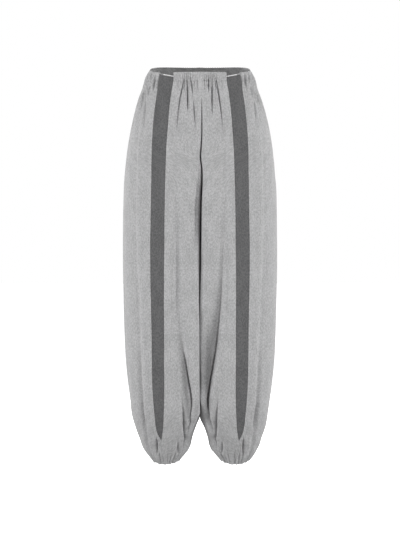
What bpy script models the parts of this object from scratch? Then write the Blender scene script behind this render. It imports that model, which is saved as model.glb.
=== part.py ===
"""Balloon-leg track pants, filled out and hollow, as they hang on a wearer.

Metres, +Z up. The front faces -Y and +X is the wearer's left. The origin is the middle of the waist,
level with the top edge of the waist at the centre front.

Each leg is a grid of points. A row is a section through the half garment, from the centre front seam
(below the crotch, the inseam) round the front, the side and the back to the centre back seam (below
the crotch, the inseam again). The columns run down the legs, and the seams are columns of the grid.
Every piece is a closed wall of cloth cut from that grid.
"""

from collections import namedtuple
from math import cos, exp, pi, radians, sin

import bmesh
import bpy
import numpy as np

# Cloth
WALL = 0.0020
CASING_WALL = 0.0030
SEAM_GAP = 0.0003
STRIPE_SUNK = 0.0005

# Waist
WAIST_RISE = 0.0310
WAIST_RISE_ENDS = -0.300
WAIST_DEPTH = 0.0975
CASING_FOOT = -0.0225
BAND_DEEPER = 0.0115
BAND_DEEPER_ENDS = -0.204
WAIST_SQUARENESS = 2.3

# Seat and crotch
VALLEY_STARTS = -0.045
CROTCH = -0.350
CROTCH_CURVE = 1.5
VALLEY_ARC = radians(1.3)
LEG_SQUARENESS = 2.3

# The inner sides of the two legs lie in one shallow wave, so that nothing shows between them
INNER_WAVE = 0.0030
INNER_WAVE_LENGTH = 0.120
INNER_WAVE_REACH = 0.050
LEFT_ANKLE_WIDER = 0.0040

# How far the centre front seam strays towards the wearer's left, row by row
Stray = namedtuple("Stray", "z x")
CENTRE_LINE = (
    Stray(-0.0450, 0.0000),
    Stray(-0.0700, 0.0038),
    Stray(-0.1700, 0.0036),
    Stray(-0.2800, 0.0006),
    Stray(-0.4200, -0.0013),
    Stray(-0.6000, -0.0013),
    Stray(-0.6900, 0.0000),
)

# Stripe, waist cord and hem
STRIPE_TIP = -0.9540
STRIPE_SEAM_CLOSES = -0.9585
CORD_RADIUS = 0.0015
CORD_AT_FRONT = -0.0100
CORD_AT_SIDE = -0.0030
HEM_TOP = -1.000
HEM_DIP = 0.0080
HEM_SIDES_UP = 0.0040
HEM_FOOT = -1.0190

# Columns of the grid, counted across each piece
VALLEY_COLUMNS = 3
FRONT_COLUMNS = 21
STRIPE_COLUMNS = 2
SIDE_COLUMNS = 4
BACK_COLUMNS = 29
BAND_STARTS = 12

# Rows of the grid, as heights at the centre front
CASING_ROWS = (0.0, -0.0115, CASING_FOOT)
UPPER_ROWS = (-0.034, -0.047, -0.062, -0.080, -0.102, -0.132, -0.170, -0.212, -0.252, -0.288, -0.320)
LOWER_ROWS = (CROTCH, -0.410, -0.500, -0.590, -0.655, -0.705, -0.755, -0.805, -0.855, -0.895, -0.925)
ANKLE_ROWS = (-0.938, STRIPE_TIP, STRIPE_SEAM_CLOSES, -0.966, -0.983, HEM_TOP)
HEM_ROWS = (-1.008, -1.0145, HEM_FOOT)

# Half widths and depths of the garment, and where the seams lie on its front, row by row.
# "inner" is the side of the leg that faces the other leg, and "corner" is how square that side is.
Section = namedtuple("Section", "z outer inner front back stripe_in stripe_out seam corner")
SECTIONS = (
    Section(0.0000, 0.1320, 0.0010, 0.0975, 0.0975, 0.0690, 0.1050, 0.1210, 11.0),
    Section(-0.0225, 0.1455, 0.0010, 0.1010, 0.1060, 0.0695, 0.1090, 0.1290, 11.0),
    Section(-0.0500, 0.1544, 0.0010, 0.1060, 0.1170, 0.0740, 0.1118, 0.1370, 11.0),
    Section(-0.0900, 0.1680, 0.0010, 0.1120, 0.1300, 0.0793, 0.1170, 0.1455, 11.0),
    Section(-0.1400, 0.1810, 0.0010, 0.1180, 0.1390, 0.0833, 0.1220, 0.1540, 11.0),
    Section(-0.2000, 0.1914, 0.0010, 0.1220, 0.1430, 0.0872, 0.1250, 0.1590, 11.0),
    Section(-0.2800, 0.1995, 0.0010, 0.1240, 0.1420, 0.0897, 0.1258, 0.1605, 11.0),
    Section(-0.3600, 0.2025, 0.0010, 0.1240, 0.1370, 0.0912, 0.1270, 0.1620, 11.0),
    Section(-0.4500, 0.2035, 0.0010, 0.1230, 0.1310, 0.0920, 0.1284, 0.1600, 11.0),
    Section(-0.5600, 0.2025, 0.0010, 0.1220, 0.1270, 0.0930, 0.1276, 0.1550, 11.0),
    Section(-0.6700, 0.1998, 0.0010, 0.1200, 0.1240, 0.0926, 0.1254, 0.1503, 11.0),
    Section(-0.7500, 0.1960, 0.0010, 0.1170, 0.1220, 0.0926, 0.1246, 0.1470, 10.0),
    Section(-0.8160, 0.1895, 0.0010, 0.1120, 0.1190, 0.0922, 0.1234, 0.1445, 9.0),
    Section(-0.8560, 0.1843, 0.0010, 0.1070, 0.1140, 0.0927, 0.1208, 0.1435, 7.0),
    Section(-0.8955, 0.1788, 0.0020, 0.0990, 0.1055, 0.0943, 0.1174, 0.1420, 4.6),
    Section(-0.9220, 0.1722, 0.0100, 0.0910, 0.0965, 0.0958, 0.1145, 0.1400, 3.4),
    Section(-0.9380, 0.1666, 0.0155, 0.0850, 0.0900, 0.0976, 0.1108, 0.1385, 2.9),
    Section(STRIPE_TIP, 0.1602, 0.0202, 0.0780, 0.0810, 0.1003, 0.1028, 0.1355, 2.5),
    Section(STRIPE_SEAM_CLOSES, 0.1586, 0.0212, 0.0755, 0.0780, 0.1007, 0.1007, 0.1340, 2.4),
    Section(-0.9750, 0.1528, 0.0246, 0.0650, 0.0665, 0.1000, 0.1000, 0.1290, 2.3),
    Section(HEM_TOP, 0.1403, 0.0372, 0.0475, 0.0475, 0.0960, 0.0960, 0.1185, 2.1),
    Section(-1.0120, 0.1318, 0.0465, 0.0400, 0.0400, 0.0925, 0.0925, 0.1110, 2.0),
    Section(HEM_FOOT, 0.1260, 0.0515, 0.0360, 0.0360, 0.0910, 0.0910, 0.1080, 2.0),
)

# The long fold down each front. "lap" is how far the cloth between it and the middle lies back.
# The depths of the wearer's left and right legs differ, and so do their laps.
Crease = namedtuple("Crease", "z x width left_depth right_depth left_lap right_lap")
LONG_FOLD = (
    Crease(-0.0225, 0.0445, 0.0034, 0.0055, 0.0055, 0.0000, 0.0000),
    Crease(-0.0870, 0.0555, 0.0042, 0.0070, 0.0070, 0.0010, 0.0010),
    Crease(-0.1300, 0.0583, 0.0055, 0.0050, 0.0050, 0.0010, 0.0010),
    Crease(-0.2000, 0.0595, 0.0090, 0.0022, 0.0022, 0.0010, 0.0010),
    Crease(-0.4500, 0.0600, 0.0110, 0.0022, 0.0018, 0.0015, 0.0010),
    Crease(-0.5800, 0.0585, 0.0100, 0.0040, 0.0025, 0.0040, 0.0020),
    Crease(-0.6600, 0.0510, 0.0090, 0.0070, 0.0040, 0.0080, 0.0030),
    Crease(-0.7200, 0.0415, 0.0080, 0.0090, 0.0070, 0.0100, 0.0040),
    Crease(-0.7800, 0.0285, 0.0075, 0.0090, 0.0080, 0.0100, 0.0040),
    Crease(-0.8500, 0.0215, 0.0070, 0.0070, 0.0060, 0.0060, 0.0020),
    Crease(-0.9100, 0.0175, 0.0070, 0.0030, 0.0030, 0.0000, 0.0000),
)

# Other folds and gathers: a line on the front (-1) or back (+1) face, from a high end to a low end.
# "deepest" is the place of the greatest depth, as a share of the way down.
Fold = namedtuple("Fold", "leg face z_high x_high z_low x_low depth width deepest")
FOLDS = (
    # gathers below the front casing
    Fold("left", -1, -0.0225, 0.0085, -0.055, 0.0093, 0.0034, 0.0030, 0.3),
    Fold("left", -1, -0.0225, 0.0195, -0.082, 0.0212, 0.0042, 0.0032, 0.3),
    Fold("left", -1, -0.0225, 0.0275, -0.050, 0.0300, 0.0032, 0.0028, 0.3),
    Fold("left", -1, -0.0225, 0.0330, -0.088, 0.0360, 0.0046, 0.0034, 0.4),
    Fold("left", -1, -0.0225, 0.0585, -0.060, 0.0640, 0.0018, 0.0034, 0.3),
    Fold("right", -1, -0.0225, 0.0065, -0.100, 0.0072, 0.0034, 0.0032, 0.4),
    Fold("right", -1, -0.0225, 0.0160, -0.078, 0.0170, 0.0044, 0.0032, 0.3),
    Fold("right", -1, -0.0225, 0.0230, -0.052, 0.0250, 0.0032, 0.0028, 0.3),
    Fold("right", -1, -0.0225, 0.0325, -0.085, 0.0345, 0.0046, 0.0034, 0.4),
    Fold("right", -1, -0.0225, 0.0600, -0.058, 0.0650, 0.0018, 0.0034, 0.3),
    # gathers below the side casings
    Fold("both", -1, -0.0225, 0.1150, -0.075, 0.1240, 0.0020, 0.0034, 0.3),
    Fold("both", -1, -0.0225, 0.1270, -0.150, 0.1500, 0.0018, 0.0050, 0.4),
    Fold("left", -1, -0.0225, 0.1370, -0.090, 0.1560, 0.0022, 0.0036, 0.3),
    Fold("right", -1, -0.0225, 0.1380, -0.105, 0.1570, 0.0022, 0.0036, 0.3),
    # long folds down the lower legs
    Fold("left", -1, -0.815, 0.0520, -0.990, 0.0470, 0.0050, 0.0065, 0.7),
    Fold("right", -1, -0.815, 0.0500, -0.990, 0.0455, 0.0055, 0.0065, 0.7),
    Fold("both", -1, -0.800, 0.1500, -0.990, 0.1290, 0.0040, 0.0070, 0.6),
    Fold("left", 1, -0.360, 0.1420, -0.780, 0.1360, 0.0030, 0.0110, 0.5),
    Fold("right", 1, -0.400, 0.1450, -0.820, 0.1340, 0.0030, 0.0110, 0.5),
    Fold("left", 1, -0.420, 0.0640, -0.960, 0.0560, 0.0065, 0.0110, 0.7),
    Fold("right", 1, -0.380, 0.0600, -0.950, 0.0580, 0.0060, 0.0110, 0.7),
    Fold("left", 1, -0.780, 0.1120, -0.990, 0.1010, 0.0050, 0.0080, 0.7),
    Fold("right", 1, -0.740, 0.1080, -0.990, 0.0990, 0.0050, 0.0080, 0.7),
)
LONG_FOLD_WIDEST_BLEND = 0.030

# Gathers below the back waistband: one at every third column, of uneven depth and length
GATHER_SHAPE = (0.0, 1.0, 0.45)
GATHER_DEPTH = (0.0036, 0.0064)
GATHER_LENGTH = (0.055, 0.170)
UNEVENNESS = 0.618

# Puckers: in the casings, and round the elastic of the hem
CASING_PUCKERS = 26
CASING_PUCKER_DEPTH = 0.0008
BAND_PUCKER_DEPTH = 0.0016
HEM_PUCKERS = 15
HEM_PUCKER_DEPTH = 0.0022
HEM_PUCKERS_START = -0.945
PUCKER_DRIFT = 0.9

# Colours, linear
LIGHT_GREY = (0.45, 0.45, 0.455, 1.0)
CHARCOAL = (0.14, 0.14, 0.142, 1.0)
WHITE = (0.85, 0.85, 0.85, 1.0)


def ease(value, start, end):
    """0 at the start, 1 at the end, and level at both."""
    share = min(max((value - start) / (end - start), 0.0), 1.0)
    return share * share * (3.0 - 2.0 * share)


def curve_through(heights, values, height):
    """A smooth curve through table values whose heights fall from row to row."""
    slopes = np.gradient(values, heights)
    last = len(heights) - 2
    row = min(max(int(np.searchsorted(-heights, -height, side="right")) - 1, 0), last)
    span = heights[row + 1] - heights[row]
    t = (height - heights[row]) / span
    t = min(max(t, 0.0), 1.0)
    start = values[row] * (1 + 2 * t) * (1 - t) ** 2 + slopes[row] * span * t * (1 - t) ** 2
    end = values[row + 1] * t * t * (3 - 2 * t) + slopes[row + 1] * span * t * t * (t - 1)
    return start + end


def read_table(table, height):
    """One row of a table at any height, as the table's own named tuple."""
    columns = np.array(table).T
    values = [curve_through(columns[0], column, height) for column in columns[1:]]
    return type(table[0])(height, *values)


def rounded_square(angle, squareness):
    """A point of a unit superellipse in the direction of an angle, as (cosine, sine)."""
    reach = (abs(cos(angle)) ** squareness + abs(sin(angle)) ** squareness) ** (-1 / squareness)
    return cos(angle) * reach, sin(angle) * reach


def crotch_share(z):
    """How far the centre seam has turned in between the legs: 0 at the waist, 1 at the crotch."""
    return ease(-z, -VALLEY_STARTS, -CROTCH) ** CROTCH_CURVE


def section_point(section, share, turn):
    """A point of a section. The turn is 0 at the front seam, 180 degrees at the side, 360 at the back."""
    depth = -section.front if turn <= pi else section.back
    angle = turn if turn <= pi else 2 * pi - turn
    squareness = section.corner if angle < pi / 2 else LEG_SQUARENESS
    across, along = rounded_square(pi - angle, squareness)
    middle = (section.outer + section.inner) / 2
    half = (section.outer - section.inner) / 2
    leg = np.array((middle + half * across, depth * along))
    valley_turn = pi / 4
    if angle < valley_turn:
        pelvis_angle = VALLEY_ARC * angle / valley_turn
    else:
        pelvis_angle = VALLEY_ARC + (pi / 2 - VALLEY_ARC) * (angle - valley_turn) / (pi - valley_turn)
    along, across = rounded_square(pelvis_angle, WAIST_SQUARENESS)
    pelvis = np.array((section.outer * across, depth * along))
    return share * leg + (1 - share) * pelvis


class Ring:
    """One section of the half garment as a fine line, with the places of its seams along it."""

    STEPS = 720

    def __init__(self, z, leg):
        self.z = z
        self.section = read_table(SECTIONS, z)
        if leg == "left":
            wider = LEFT_ANKLE_WIDER * ease(-z, -LOWER_ROWS[-2], -ANKLE_ROWS[-2])
            self.section = self.section._replace(outer=self.section.outer + wider)
        share = crotch_share(z)
        turns = np.linspace(0, 2 * pi, self.STEPS + 1)
        self.points = np.array([section_point(self.section, share, turn) for turn in turns])
        self.points[:, 0] = np.maximum(self.points[:, 0], SEAM_GAP / 2)
        self.points[:, 0] += (self.inner_wave() + self.centre_stray()) * (1 if leg == "left" else -1)
        steps = np.linalg.norm(np.diff(self.points, axis=0), axis=1)
        self.along = np.concatenate(([0.0], np.cumsum(steps)))
        self.side = self.STEPS // 2
        self.corner = self.along[self.STEPS // 8]
        self.length = self.along[-1]

    def inner_wave(self):
        """A wave that starts at the seam and dies away from the middle, opposite before and behind it."""
        x, y = self.points.T
        half = self.STEPS // 2
        behind = np.arange(len(y)) > half
        from_seam = np.where(behind, y - y[-1], y[0] - y)
        wave = np.where(behind, 1.0, -1.0) * np.sin(2 * pi * from_seam / INNER_WAVE_LENGTH)
        fade = np.clip(1 - (x - self.section.inner) / INNER_WAVE_REACH, 0.0, 1.0) ** 2
        parting = 1 - ease(self.section.inner, INNER_WAVE, 4 * INNER_WAVE)
        return INNER_WAVE * wave * fade * parting

    def centre_stray(self):
        """How far the front near the centre seam strays to one side. It dies away towards the inseam."""
        if not CENTRE_LINE[-1].z < self.z < CENTRE_LINE[0].z:
            return 0.0
        x, y = self.points.T
        fade = np.clip(1 - x / INNER_WAVE_REACH, 0.0, 1.0) ** 2
        forward = np.clip(-y / self.section.front, 0.0, 1.0)
        return read_table(CENTRE_LINE, self.z).x * fade * forward

    def place(self, x, face=-1):
        """How far along the ring the front or back face reaches a distance from the middle."""
        eighth = self.STEPS // 8
        if face < 0:
            part = slice(eighth, self.side + 1)
            return float(np.interp(x, self.points[part, 0], self.along[part]))
        part = slice(self.side, self.STEPS - eighth + 1)
        return float(np.interp(-x, -self.points[part, 0], self.along[part]))

    def columns(self):
        """Where each column of the grid lies along the ring."""
        stripe_in = self.place(self.section.stripe_in)
        stripe_out = self.place(self.section.stripe_out)
        if self.z <= STRIPE_SEAM_CLOSES:
            stripe_out = stripe_in
        borders = [self.corner, stripe_in, stripe_out, self.place(self.section.seam)]
        back_corner = self.along[7 * self.STEPS // 8]
        ends = [0.0] + borders + [back_corner, self.length]
        counts = (
            VALLEY_COLUMNS, FRONT_COLUMNS, STRIPE_COLUMNS, SIDE_COLUMNS,
            BACK_COLUMNS - VALLEY_COLUMNS, VALLEY_COLUMNS,
        )
        parts = [np.linspace(a, b, n + 1)[:-1] for a, b, n in zip(ends, ends[1:], counts)]
        return np.concatenate(parts + [[self.length]])

    def point(self, along):
        """The point of the cloth's plain surface at a place along the ring."""
        x = np.interp(along, self.along, self.points[:, 0])
        y = np.interp(along, self.along, self.points[:, 1])
        fade = 1 - ease(-self.z, 0.0, -WAIST_RISE_ENDS)
        rise = WAIST_RISE * ease(y, -WAIST_DEPTH, WAIST_DEPTH) * fade
        deeper = BAND_DEEPER * ease(y, 0.0, WAIST_DEPTH) * ease(-self.z, 0.0, -CASING_FOOT)
        deeper *= 1 - ease(-self.z, -CASING_FOOT, -BAND_DEEPER_ENDS)
        front_share = 0.5 * (1 - y / self.section.front)
        dip = HEM_DIP * (front_share - 0.5) * ease(-self.z, -STRIPE_TIP, -HEM_TOP)
        to_side = max(0.0, 1 - (y / self.section.front) ** 2)
        up = HEM_SIDES_UP * to_side * ease(-self.z, -STRIPE_TIP, -HEM_FOOT)
        return np.array((x, y, self.z + rise - deeper - dip + up))


def fold_depth(ring, along, fold):
    """How deep one fold lies at a place on a ring."""
    if not fold.z_low < ring.z <= fold.z_high:
        return 0.0
    share = (fold.z_high - ring.z) / (fold.z_high - fold.z_low)
    middle = ring.place(fold.x_high + (fold.x_low - fold.x_high) * share, fold.face)
    if share < fold.deepest:
        strength = 0.6 + 0.4 * ease(share, 0.0, fold.deepest)
        if fold.z_high < CASING_FOOT:
            strength = ease(share, 0.0, fold.deepest)
    else:
        strength = 1 - ease(share, fold.deepest, 1.0)
    return fold.depth * strength * exp(-(((along - middle) / fold.width) ** 2))


def long_fold_depth(ring, along, leg):
    """How deep the long front fold and the cloth that laps behind it lie."""
    if ring.z > LONG_FOLD[0].z or ring.z < LONG_FOLD[-1].z:
        return 0.0
    crease = read_table(LONG_FOLD, ring.z)
    depth = crease.left_depth if leg == "left" else crease.right_depth
    lap = crease.left_lap if leg == "left" else crease.right_lap
    offset = (along - ring.place(crease.x)) / crease.width
    inner_side = 1 - ease(offset, -1.5, 0.5)
    rounding = ease(along, 0.0, LONG_FOLD_WIDEST_BLEND)
    return (depth * exp(-offset * offset) + lap * inner_side) * rounding


def pucker(place, count, drift):
    """Uneven waves round an elastic, from 0 on the crests to 1 in the dips."""
    wave = 2 * pi * count * place + PUCKER_DRIFT * sin(2 * pi * 3 * place + drift)
    return 0.5 - 0.5 * cos(wave)


def uneven(number, ends, leg):
    """A value between two ends that seems to follow no rule from one gather to the next."""
    start = 0.0 if leg == "left" else 0.37
    share = (start + number * UNEVENNESS) % 1.0
    return ends[0] + (ends[1] - ends[0]) * share


def back_gather_depth(z, number, leg):
    """How deep the gathers of the back lie at a column, counted from the side seam."""
    gather = number // len(GATHER_SHAPE)
    length = uneven(gather, GATHER_LENGTH, leg)
    depth = uneven(2 * gather + 1, GATHER_DEPTH, leg)
    return depth * gather_shape(number) * (1 - ease(CASING_FOOT - z, 0.2 * length, length))


def gather_shape(number):
    """The gathers' profile from column to column. It dies away at the centre back seam."""
    return GATHER_SHAPE[number % len(GATHER_SHAPE)] * min(1.0, (BACK_COLUMNS - number) / 2)


def sink(ring, along, column, leg):
    """How far the cloth lies behind its plain surface at a place on a ring."""
    drift = 0.0 if leg == "left" else 2.0
    share = along / ring.length
    from_seam = column - (VALLEY_COLUMNS + FRONT_COLUMNS + STRIPE_COLUMNS + SIDE_COLUMNS)
    if ring.z >= CASING_FOOT:
        if from_seam > 0:
            return BAND_PUCKER_DEPTH * gather_shape(from_seam)
        return CASING_PUCKER_DEPTH * pucker(share, CASING_PUCKERS, drift)
    depth = long_fold_depth(ring, along, leg)
    if from_seam > 0:
        depth += back_gather_depth(ring.z, from_seam, leg)
    for fold in FOLDS:
        if fold.leg in (leg, "both"):
            depth += fold_depth(ring, along, fold)
    hem = ease(-ring.z, -HEM_PUCKERS_START, -HEM_TOP)
    return depth + HEM_PUCKER_DEPTH * hem * pucker(share, HEM_PUCKERS, drift)


def outward(grid):
    """The direction out of the cloth at each point of a grid."""
    down = np.gradient(grid, axis=0)
    across = np.gradient(grid, axis=1)
    normals = np.cross(down, across)
    normals[:, 0, 0] = np.minimum(normals[:, 0, 0], 0.0)
    normals[:, -1, 0] = np.minimum(normals[:, -1, 0], 0.0)
    lengths = np.linalg.norm(normals, axis=2, keepdims=True)
    return normals / np.maximum(lengths, 1e-12)


class Leg:
    """The grid of one leg: its plain surface, the way out of it and the depth of its folds."""

    def __init__(self, leg):
        self.mirror = 1.0 if leg == "left" else -1.0
        self.heights = CASING_ROWS + UPPER_ROWS + LOWER_ROWS + ANKLE_ROWS + HEM_ROWS
        rings = [Ring(z, leg) for z in self.heights]
        places = [ring.columns() for ring in rings]
        self.plain = np.array(
            [[ring.point(along) for along in row] for ring, row in zip(rings, places)]
        )
        self.out = self.normals()
        self.sunk = np.array(
            [
                [sink(ring, along, column, leg) for column, along in enumerate(row)]
                for ring, row in zip(rings, places)
            ]
        )

    def normals(self):
        """The seam closes over the stripe's columns at the ankle, where they borrow their neighbours' way out."""
        grid = self.plain.copy()
        closed = self.heights.index(STRIPE_SEAM_CLOSES)
        first = VALLEY_COLUMNS + FRONT_COLUMNS
        last = first + STRIPE_COLUMNS
        keep = [c for c in range(grid.shape[1]) if not first < c <= last]
        out = outward(grid)
        merged = outward(grid[closed:][:, keep])
        out[closed:, keep] = merged
        for column in range(first + 1, last + 1):
            out[closed:, column] = out[closed:, first]
        inseam = self.heights.index(CROTCH)
        shared = out[inseam:, 0] + out[inseam:, -1]
        shared /= np.linalg.norm(shared, axis=1, keepdims=True)
        out[inseam:, 0] = shared
        out[inseam:, -1] = shared
        return out

    def row(self, height):
        return self.heights.index(height)

    def walls(self, rows, columns, thickness=WALL, lift=0.0):
        """The outer and inner points of a piece. The inner side keeps most of each fold."""
        cut = np.ix_(rows, columns)
        plain, out, sunk = self.plain[cut], self.out[cut], self.sunk[cut][..., None]
        outer = plain + out * (lift - sunk)
        inner = plain + out * (lift - sunk - thickness)
        mirror = np.array((self.mirror, 1.0, 1.0))
        return outer * mirror, inner * mirror


def draw_in(grids, axis, end, distance):
    """Moves one border of a piece towards its middle, to leave half a seam's gap."""
    for grid in grids:
        lines = np.moveaxis(grid, axis, 0)
        border, beside = (0, 1) if end == "first" else (-1, -2)
        way = lines[beside] - lines[border]
        way /= np.maximum(np.linalg.norm(way, axis=1, keepdims=True), 1e-9)
        lines[border] += way * distance


def make_wall(name, outer, inner, material, turned=False, round_leg=False):
    """A closed wall from its outer and inner grids. A round leg's last column joins its first."""
    mesh = bmesh.new()
    rows, columns = outer.shape[:2]
    skins = [
        [[mesh.verts.new(tuple(point)) for point in row] for row in grid] for grid in (outer, inner)
    ]
    spans = [(c, (c + 1) % columns) for c in range(columns if round_leg else columns - 1)]

    def face(*corners):
        mesh.faces.new(corners[::-1] if turned else corners)

    front, behind = skins
    for r in range(rows - 1):
        for a, b in spans:
            face(front[r][a], front[r + 1][a], front[r + 1][b], front[r][b])
            face(behind[r][b], behind[r + 1][b], behind[r + 1][a], behind[r][a])
    for a, b in spans:
        face(front[0][a], front[0][b], behind[0][b], behind[0][a])
        face(front[-1][b], front[-1][a], behind[-1][a], behind[-1][b])
    if not round_leg:
        for r in range(rows - 1):
            face(front[r + 1][0], front[r][0], behind[r][0], behind[r + 1][0])
            face(front[r][-1], front[r + 1][-1], behind[r + 1][-1], behind[r][-1])
    data = bpy.data.meshes.new(name)
    mesh.to_mesh(data)
    mesh.free()
    data.shade_smooth()
    data.set_sharp_from_angle(angle=radians(50))
    data.materials.append(material)
    piece = bpy.data.objects.new(name, data)
    bpy.context.scene.collection.objects.link(piece)
    return piece


def cloth_material(name, color, roughness):
    material = bpy.data.materials.new(name)
    material.use_nodes = True
    shader = material.node_tree.nodes["Principled BSDF"]
    shader.inputs["Base Color"].default_value = color
    shader.inputs["Roughness"].default_value = roughness
    shader.inputs["Metallic"].default_value = 0.0
    return material


def clear_scene():
    for thing in list(bpy.data.objects):
        bpy.data.objects.remove(thing, do_unlink=True)


def build_panel(leg, name, first, last, material, top=CASING_FOOT, foot=HEM_TOP, lift=0.0):
    """A panel between two seams, from the casing down to the hem."""
    rows = list(range(leg.row(top), leg.row(foot) + 1))
    grids = leg.walls(rows, list(range(first, last + 1)), lift=lift)
    for axis in (0, 1):
        for end in ("first", "last"):
            draw_in(grids, axis, end, SEAM_GAP / 2)
    return make_wall(name, *grids, material, turned=leg.mirror < 0)


def build_stripe(leg, name, first, last, material):
    """The dark panel. Its top edge slopes just under the waist cord, and its foot is a point."""
    rows = list(range(leg.row(CASING_ROWS[1]), leg.row(STRIPE_TIP) + 1))
    grids = leg.walls(rows, list(range(first, last + 1)), lift=-STRIPE_SUNK)
    for end in ("first", "last"):
        draw_in(grids, 1, end, SEAM_GAP / 2)
    under_cord = CORD_RADIUS + 3 * SEAM_GAP
    slope = np.linspace(CORD_AT_FRONT, CORD_AT_SIDE, last - first + 1) - under_cord
    for grid in grids:
        grid[0, :, 2] += slope - CASING_ROWS[1]
    return make_wall(name, *grids, material, turned=leg.mirror < 0)


def build_casing(name, legs, columns, material, mirrored_join=None):
    """A casing round part of the waist. A join at the middle makes one piece of both sides."""
    rows = list(range(len(CASING_ROWS)))
    sides = [leg.walls(rows, columns, thickness=CASING_WALL) for leg in legs]
    if mirrored_join is None:
        grids = sides[0]
        turned = legs[0].mirror < 0
    else:
        grids = tuple(join_halves(left, right, mirrored_join) for left, right in zip(*sides))
        turned = False
    draw_in(grids, 0, "last", SEAM_GAP / 2)
    draw_in(grids, 1, "first", SEAM_GAP / 2)
    draw_in(grids, 1, "last", SEAM_GAP / 2)
    return make_wall(name, *grids, material, turned=turned)


def join_halves(left, right, where):
    """One grid from the wearer's right to the left (front) or from left to right (back)."""
    if where == "front":
        grid = np.concatenate((right[:, :0:-1], left), axis=1)
        middle = right.shape[1] - 1
    else:
        grid = np.concatenate((left, right[:, -2::-1]), axis=1)
        middle = left.shape[1] - 1
    grid[:, middle, 0] = 0.0
    return grid


def build_hem(leg, name, material):
    """The elastic casing that turns the foot of the balloon leg in under itself."""
    rows = list(range(leg.row(HEM_TOP), leg.row(HEM_ROWS[-1]) + 1))
    stripe = VALLEY_COLUMNS + FRONT_COLUMNS
    doubled = set(range(stripe + 1, stripe + STRIPE_COLUMNS + 1))
    columns = [c for c in range(leg.plain.shape[1] - 1) if c not in doubled]
    grids = leg.walls(rows, columns, thickness=CASING_WALL)
    draw_in(grids, 0, "first", SEAM_GAP / 2)
    return make_wall(name, *grids, material, turned=leg.mirror < 0, round_leg=True)


def build_cord(leg, name, first, last, material):
    """The waist cord where it leaves the front casing and enters the side casing."""
    rows = [leg.row(CASING_ROWS[0])]
    outer, inner = leg.walls(rows, list(range(first, last + 1)), thickness=CASING_WALL)
    centres = (outer[0] + inner[0]) / 2
    centres[:, 2] += np.linspace(CORD_AT_FRONT, CORD_AT_SIDE, len(centres))
    ways = centres[[1, -2]] - centres[[0, -1]]
    ways /= np.linalg.norm(ways, axis=1, keepdims=True)
    centres[[0, -1]] += ways * 2 * SEAM_GAP
    curve = bpy.data.curves.new(name, "CURVE")
    curve.dimensions = "3D"
    spline = curve.splines.new("POLY")
    spline.points.add(len(centres) - 1)
    for point, centre in zip(spline.points, centres):
        point.co = (*centre, 1.0)
    curve.bevel_depth = CORD_RADIUS
    curve.bevel_resolution = 2
    curve.use_fill_caps = True
    curve.materials.append(material)
    cord = bpy.data.objects.new(name, curve)
    bpy.context.scene.collection.objects.link(cord)
    return cord


def main():
    clear_scene()
    light = cloth_material("light_jersey", LIGHT_GREY, 0.9)
    dark = cloth_material("charcoal_jersey", CHARCOAL, 0.9)
    white = cloth_material("white_cord", WHITE, 0.7)

    stripe_in = VALLEY_COLUMNS + FRONT_COLUMNS
    stripe_out = stripe_in + STRIPE_COLUMNS
    seam = stripe_out + SIDE_COLUMNS
    centre_back = seam + BACK_COLUMNS
    band = seam + BAND_STARTS

    legs = {side: Leg(side) for side in ("left", "right")}
    for side, leg in legs.items():
        build_panel(leg, f"front_{side}", 0, stripe_in, light)
        build_stripe(leg, f"stripe_{side}", stripe_in, stripe_out, dark)
        build_panel(leg, f"side_{side}", stripe_out, seam, light)
        build_panel(leg, f"back_{side}", seam, centre_back, light)
        build_casing(f"side_casing_{side}", [leg], list(range(stripe_out, band + 1)), light)
        build_hem(leg, f"hem_{side}", light)
        build_cord(leg, f"waist_cord_{side}", stripe_in, stripe_out, white)
    both = [legs["left"], legs["right"]]
    build_casing("front_casing", both, list(range(stripe_in + 1)), light, "front")
    build_casing("back_waistband", both, list(range(band, centre_back + 1)), dark, "back")


main()
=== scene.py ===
"""Balloon-leg track pants: cloth, sewing and finish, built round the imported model.

Metres, +Z up. The front faces -Y, and +X is on the right as seen from the front. The origin is the
middle of the waist, level with the top edge of the waist at the centre front.

Each leg is a surface given by rings, one for each height. A ring runs from the centre front seam (below
the crotch, the inseam) round the front, the side and the back to the centre back seam (below the crotch,
the inseam again). Every piece is a closed shell of cloth between two seams of that surface, and its folds
are troughs in it.
"""

from collections import namedtuple
from functools import lru_cache
from math import pi, radians

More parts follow.
